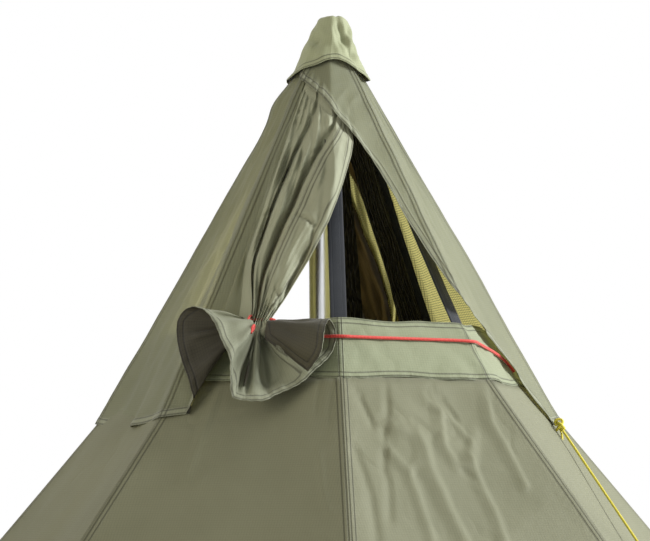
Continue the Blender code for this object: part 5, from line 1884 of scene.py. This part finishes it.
@dataclass
class DoorTie:
    """Short webbing strap beside the door, with a turned toggle that holds the rolled leaf."""

    height: float = 0.82
    length: float = 0.07
    width: float = 0.015
    thickness: float = 0.0012
    toggle_length: float = 0.04
    toggle_radius: float = 0.0048

    def build(self) -> list[Piece]:
        """A strap bowed over the toggle by a bell curve, and the toggle as a turned barrel with a waist.

        Returns:
            The strap and the toggle.
        """
        centre = np.mean(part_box("door_toggle"), axis=0)
        place = float(door_place(DOOR_HINGE, self.height, -self.length * 0.8))
        foot = body_surface(np.array([[place]]), np.array([[self.height]]))[0, 0]
        plane = BODY.point(np.array((7.3, 7.7)), self.height)
        across = unit(plane[1] - plane[0])
        rise = unit(BODY.point(7.5, self.height + 0.1) - BODY.point(7.5, self.height))
        out = np.cross(across, rise)
        t = np.linspace(-0.5, 0.5, 41)[:, None]
        w = np.linspace(-0.5, 0.5, 7)[None]
        lift = (foot - centre) @ out + 0.0006 + 0.0135 * np.exp(-((t / 0.13) ** 2))
        points = centre + (t * self.length)[..., None] * -across + (w * self.width)[..., None] * rise
        points = points + lift[..., None] * out
        grain = joined(w * self.width, t * self.length)
        strap = add_piece("door_tie_strap", points[:, ::-1], {"Grain": grain, "Hem": np.full_like(grain, 0.5)})
        strap.data.materials.append(GREY_WEBBING)
        thicken(strap, self.thickness)
        s = np.linspace(0.0, 1.0, 25)
        barrel = np.sqrt(np.clip(1.0 - (2.0 * s - 1.0) ** 6, 0.0, 1.0))
        waist = 1.0 - 0.22 * np.exp(-(((s - 0.5) / 0.14) ** 2))
        radius = np.maximum(self.toggle_radius * barrel * waist, 0.0004)
        line = centre + (s[:, None] - 0.5) * self.toggle_length * rise
        toggle = add_tube("door_tie_toggle", line, radius, 20)
        toggle.data.materials.append(NYLON)
        rows = ((strap, "door_tieback_strap", "grey_webbing"), (toggle, "door_toggle", "dark_plastic"))
        for piece, node, slot in rows:
            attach(piece, "tent")
            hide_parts(node)
        return [strap, toggle]


# Pole, cords and pegs


@dataclass
class CentrePole:
    """Two telescoping tubes with a rubber foot and a moulded plug under the hub plate."""

    upper_radius: float = 0.0175
    lower_radius: float = 0.015
    wall: float = 0.0015
    joint: float = 1.25
    overlap: float = 0.35
    top: float = 2.44

    def tube(self, radius: float, low: float, high: float) -> list[tuple[float, float]]:
        """Profile of an open tube: outside, rounded rim, inside and rounded rim again.

        Args:
            radius: Outer radius.
            low: Height of its foot.
            high: Height of its head.

        Returns:
            Pairs of radius and height.
        """
        inside, lip = radius - self.wall, self.wall * 0.35
        return [
            (inside + lip, low), (radius - lip, low), (radius, low + lip), (radius, high - lip),
            (radius - lip, high), (inside + lip, high), (inside, high - lip), (inside, low + lip),
            (inside + lip, low),
        ]

    def foot(self) -> list[tuple[float, float]]:
        """Profile of the ribbed rubber foot, from the middle of its sole to its sleeve's inner edge.

        Returns:
            Pairs of radius and height.
        """
        sleeve, bore = self.lower_radius + 0.0042, self.lower_radius + 0.0004
        profile = [
            (0.0, 0.0), (0.026, 0.0), (0.0305, 0.0012), (0.032, 0.004), (0.0315, 0.008), (0.027, 0.0125),
            (0.0215, 0.017),
        ]
        for rib in range(4):
            for out, rise in ((0.0, 0.0), (0.0011, 0.0012), (0.0011, 0.003), (0.0, 0.0042)):
                profile.append((sleeve + out, 0.022 + 0.0062 * rib + rise))
        return profile + [(sleeve, 0.048), (sleeve - 0.001, 0.05), (bore, 0.05), (bore, 0.04)]

    def build(self) -> list[Piece]:
        """Turns and dresses the four pieces.

        Returns:
            Lower tube, upper tube, foot and plug.
        """
        centre = (POLE_X, 0.0)
        inner = self.tube(self.lower_radius, 0.0123, self.joint + self.overlap)
        lower = add_turned("lower_tube", inner, centre, 72)
        upper = add_turned("upper_tube", self.tube(self.upper_radius, self.joint, self.top), centre, 72)
        foot = add_turned("rubber_foot", self.foot(), centre, 64)
        plug_profile = [
            (0.0155, 2.4403), (0.0172, 2.4403), (0.0175, 2.441), (0.0175, 2.4535), (0.017, 2.4546),
            (0.008, 2.4547), (0.008, 2.484), (0.0066, 2.4885), (0.004, 2.4898), (0.0, 2.49),
        ]
        plug = add_turned("plug_spigot", plug_profile, centre, 48)
        rows = (
            (lower, ALUMINIUM, "lower_pole", "pole_lower_tube", "pole_metal"),
            (upper, ALUMINIUM, "tent", "pole_upper_tube", "pole_metal"),
            (foot, RUBBER, "lower_pole", "pole_foot", "black_rubber"),
            (plug, NYLON, "tent", "pole_top_plug", "dark_plastic"),
        )
        for piece, material, body, node, slot in rows:
            piece.data.materials.append(material)
            piece.data.set_sharp_from_angle(angle=math.radians(38.0))
            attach(piece, body)
            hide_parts(node)
        return [lower, upper, foot, plug]


# Route of the red cord: round the tie, across the tent, height, out of the hood
RED_TIE = (
    (-0.14, 2.02, 0.002), (-0.137, 2.019, 0.005), (-0.131, 2.0186, 0.0066), (-0.1205, 2.0186, 0.007),
    (-0.11, 2.0186, 0.0066), (-0.1035, 2.019, 0.0056), (-0.0975, 2.018, 0.003), (-0.0925, 2.015, -0.003),
    (-0.0865, 2.009, -0.0095), (-0.0765, 2.001, -0.0145),
)
# Then along the front of the band: across the tent, height, out of the band
RED_FRONT = (
    (-0.06, 1.9955, 0.007), (-0.0235, 1.9915, 0.0055), (-0.008, 1.9912, 0.006), (0.008, 1.991, 0.006),
    (0.0235, 1.9908, 0.0055), (0.0645, 1.9905, 0.0055), (0.13, 1.9905, 0.0055), (0.18, 1.9905, 0.0055),
)
# Then round the seam and along the next wall: place in seams, height
RED_SIDE = (
    (1.0, 1.9895), (1.12, 1.9885), (1.2, 1.986), (1.42, 1.98), (1.6, 1.9715), (1.68, 1.961), (1.7, 1.952),
)
RED_RADIUS = 0.0025
GUY_RADIUS = 0.002


@dataclass
class VentCord:
    """Red cord that is tied round the flap's neck and runs behind its tail and along the band to the wing."""

    word: str
    turned: bool

    def route(self) -> Array:
        """Middle line of the cord, which lies on the band's slanting face with its own radius.

        Returns:
            Points of the line.
        """
        tie, front, side = (np.array(table) for table in (RED_TIE, RED_FRONT, RED_SIDE))
        slant = math.atan((BAND.low_radius - BAND.high_radius) / (BAND.high_height - BAND.low_height))
        lift = (RED_RADIUS + 0.0003) / math.cos(slant)
        out = np.where(side[:, 0] == 1.0, lift * 1.6, lift * 1.5)
        stretches = [HOOD.front(*tie.T), BAND.front(*front.T), BAND.point(*side.T, out)]
        return smooth_path(np.concatenate(stretches), 6)

    def lashing(self) -> Array:
        """One upright loop over the neck's cloth with a short loose end, the part of the tie that shows.

        Returns:
            Points of its middle line.
        """
        x = (-0.1275, -0.131, -0.1345, -0.135, -0.133, -0.13, -0.127, -0.1262, -0.1285, -0.131)
        height = (2.024, 2.025, 2.02, 2.012, 2.004, 1.999, 2.003, 2.009, 2.006, 1.996)
        out = (0.006, 0.013, 0.02, 0.025, 0.0285, 0.029, 0.027, 0.023, 0.029, 0.032)
        return smooth_path(HOOD.front(x, height, out), 8)

    def build(self) -> list[Piece]:
        """The cord and its lashing, both braided.

        Returns:
            Both pieces.
        """
        path, coil = self.route(), self.lashing()
        if self.turned:
            path, coil = half_turned(path), half_turned(coil)
        cord = add_tube("red_cord_%s" % self.word, path, RED_RADIUS, 14)
        lashing = add_tube("red_lashing_%s" % self.word, coil, 0.0018, 12)
        for piece in (cord, lashing):
            piece.data.materials.append(RED_CORD)
            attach(piece, "tent")
        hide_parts("vent_cord_%s" % self.word)
        return [cord, lashing]


@dataclass
class Guyline:
    """Yellow guyline from the wing's corner to a ground peg, with its knot and the knot's loose end."""

    word: str
    turned: bool
    peg_azimuth: float = 38.5
    peg_reach: float = 2.07

    def ends(self) -> tuple[Array, Array]:
        """Start on the hood's corner and end at the peg, both a cord's radius above what they lie on.

        Returns:
            The two points.
        """
        rise = HOOD.high_height - HOOD.low_height
        lean = math.atan((HOOD.low_radius - HOOD.high_radius) * math.cos(math.pi / SIDES) / rise)
        level = beside_seam(1.5, 1.0, 0.0, 0.0)
        normal = level * math.cos(lean) + UP * math.sin(lean)
        start = HOOD.point(1.82, 1.876) + normal * (GUY_RADIUS + 0.0003)
        fall = math.atan2(HOOD.low_height, self.peg_reach - HOOD.low_radius)
        height = 0.007 + GUY_RADIUS * math.cos(fall) + 0.0006
        end = beside_seam(self.peg_azimuth / 360.0 * SIDES, self.peg_reach, 0.0, height)
        if self.turned:
            return half_turned(start), half_turned(end)
        return start, end

    def knot(self, place: Array, along: Array) -> Array:
        """An overhand knot: the trefoil (sin t + 2 sin 2t, cos t - 2 cos 2t, -sin 3t), opened at one end.

        Args:
            place: Middle of the knot.
            along: Direction of the line.

        Returns:
            Points of its middle line.
        """
        t = np.linspace(0.15, 2.0 * math.pi - 0.15, 80)
        shape = joined(np.sin(t) + 2 * np.sin(2 * t), np.cos(t) - 2 * np.cos(2 * t), -1.3 * np.sin(3 * t))
        side = unit(np.cross(along, UP))
        return place + shape @ np.stack([along, np.cross(side, along), side]) * 0.0034

    def build(self) -> list[Piece]:
        """The line, its knot and the knot's loose end.

        Returns:
            The three pieces.
        """
        start, end = self.ends()
        along = unit(end - start)
        path = start + np.linspace(0.0, 1.0, 260)[:, None] * (end - start)
        line = add_tube("guyline_%s_cord" % self.word, path, GUY_RADIUS, 12)
        knot = add_tube("guyline_%s_knot" % self.word, self.knot(start + along * 0.014, along), 0.0021, 10)
        hang = ((0.01, 0.0), (0.022, 0.01), (0.02, 0.034))
        tail = smooth_path([start + along * reach - UP * drop for reach, drop in hang], 8)
        loose = add_tube("guyline_%s_loose_end" % self.word, tail, 0.0018, 10)
        for piece in (line, knot, loose):
            piece.data.materials.append(YELLOW_CORD)
            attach(piece, "tent")
        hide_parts("guyline_%s" % self.word)
        float(np.linalg.norm(end - start))
        return [line, knot, loose]


class CarriedOver(Enum):
    """Kept CAD nodes that get a finish from here. The clamp, runners, pegs and slider keep the frame's own."""

    hub_plate = "nylon"
    clamp_pin = "steel"


def dress_carried_over() -> None:
    """Puts the finished materials on those nodes."""
    finishes = {"nylon": NYLON, "steel": STEEL}
    for node in CarriedOver:
        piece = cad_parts[node.name]
        if piece.material_slots:
            for slot in piece.material_slots:
                slot.material = finishes[node.value]
        else:
            piece.data.materials.append(finishes[node.value])
        LOG.info("kept %s as %s", node.name, node.value)


# Light, floor and camera


@dataclass
class Studio:
    """Plain pale floor, soft light from the front right, and the camera of the photograph."""

    lens: float = 109.4
    shift: float = -0.0069
    azimuth: float = -2.925
    distance: float = 3.2
    eye: float = 1.7556
    pitch: float = 6.534
    roll: float = 0.27
    sky_strength: float = 0.58
    key_power: float = 590.0
    fill_power: float = 112.0

    def place_camera(self) -> None:
        """Looks along the pitch and azimuth, turned by the roll."""
        a, e, r = (math.radians(v) for v in (self.azimuth, self.pitch, self.roll))
        forward = Vector((-math.sin(a) * math.cos(e), math.cos(a) * math.cos(e), math.sin(e)))
        right = Vector((math.cos(a), math.sin(a), 0.0))
        up = right.cross(forward)
        across = right * math.cos(r) - up * math.sin(r)
        above = right * math.sin(r) + up * math.cos(r)
        place = Vector((self.distance * math.sin(a), -self.distance * math.cos(a), self.eye))
        rows = [(across[i], above[i], -forward[i], place[i]) for i in range(3)]
        data = bpy.data.cameras.new("camera")
        data.lens, data.sensor_width, data.shift_x = self.lens, 36.0, self.shift
        data.clip_start, data.clip_end = 0.05, 100.0
        camera = bpy.data.objects.new("camera", data)
        camera.matrix_world = Matrix((*rows, (0.0, 0.0, 0.0, 1.0)))
        bpy.context.scene.collection.objects.link(camera)
        bpy.context.scene.camera = camera

    def lay_floor(self) -> None:
        """A wide disc of pale smooth concrete just under the tent."""
        turn = np.linspace(0.0, 2.0 * math.pi, 97)[None]
        reach = np.array((9.0, 3.0, 0.5, 0.0))[:, None]
        points = joined(reach * np.cos(turn), reach * np.sin(turn), -0.001)
        floor = add_piece("studio_floor", points, wraps=True, weld=True)
        r = Recipe("floor_sealed_concrete", "E9E9E7")
        r.paint(r.noise(0.8, 6.0).eased(0.4, 0.75) * 0.5, "E0E0DD")
        floor.data.materials.append(r.finish(0.7))

    def light_world(self) -> None:
        """White behind the tent for the camera, metal and cloth; a softer, slightly warm sky for the rest."""
        world = bpy.data.worlds.new("studio_sky")
        bpy.context.scene.world = world
        world.use_nodes = True
        tree = world.node_tree
        tree.nodes.clear()
        rays = add_node(tree, "ShaderNodeLightPath").outputs
        seen = Pattern(tree, rays["Is Camera Ray"])
        for kind in ("Is Glossy Ray", "Is Transmission Ray"):
            seen = seen.sum("MAXIMUM", rays[kind])
        skies = ((linear("F4F0E4"), self.sky_strength), (linear("FFFFFF"), 1.0))
        sky, white = (
            add_node(tree, "ShaderNodeBackground", None, {"Color": colour, "Strength": strength}).outputs[0]
            for colour, strength in skies
        )
        mix = add_node(tree, "ShaderNodeMixShader", None, {0: seen, 1: sky, 2: white})
        add_node(tree, "ShaderNodeOutputWorld", None, {"Surface": mix.outputs[0]})

    def hang_lamp(self, name: str, place: tuple[float, ...], size: float, power: float, tint: str) -> None:
        """One soft square lamp that faces the vent.

        Args:
            name: Name of the lamp.
            place: Where it hangs.
            size: Side of its square in metres.
            power: Its power in watts.
            tint: Its colour in sRGB hex.
        """
        data = bpy.data.lights.new(name, "AREA")
        data.size, data.energy, data.color = size, power, linear(tint)[:3]
        lamp = bpy.data.objects.new(name, data)
        lamp.location = place
        aim = Vector((0.0, 0.0, 1.9)) - Vector(place)
        lamp.rotation_euler = aim.to_track_quat("-Z", "Y").to_euler()
        bpy.context.scene.collection.objects.link(lamp)

    def build(self) -> None:
        """Floor, sky, lamps and colour view."""
        self.lay_floor()
        self.light_world()
        self.hang_lamp("key_lamp", (5.35, -0.75, 4.0), 1.8, self.key_power, "FFFFFF")
        self.hang_lamp("fill_lamp", (-4.3, -3.1, 3.2), 3.0, self.fill_power, "FFF4E2")
        bpy.context.scene.view_settings.view_transform = "Standard"


def main() -> None:
    """Builds the studio and every piece of the tent in order, and reports each one."""
    logging.basicConfig(level=logging.INFO, format="%(name)s: %(message)s")
    studio = Studio()
    studio.place_camera()
    made: list[Any] = []
    for word, turned in (("front", False), ("back", True)):
        made += VentCord(word, turned).build()
        made += Guyline(word, turned).build()
    studio.build()
    made.append(HoodHalf("left", "front", False, billow=0.009).build())
    made.append(HoodHalf("right", "back", True, seed=23).build())
    made.append(TopCap().build())
    walls = BodyWalls()
    made += [walls.build_walls(), walls.build_door()]
    made.append(VentBand().build())
    made += SeamWebbings().build()
    made += InsectNets().build()
    made.append(HemWebbing().build())
    made += ZipFastener().build()
    made += DoorTie().build()
    made += CentrePole().build()
    dress_carried_over()
    for piece in made:
        LOG.info("made %s with %d points", piece.name, len(piece.data.vertices))


if __name__ == "__main__":
    main()
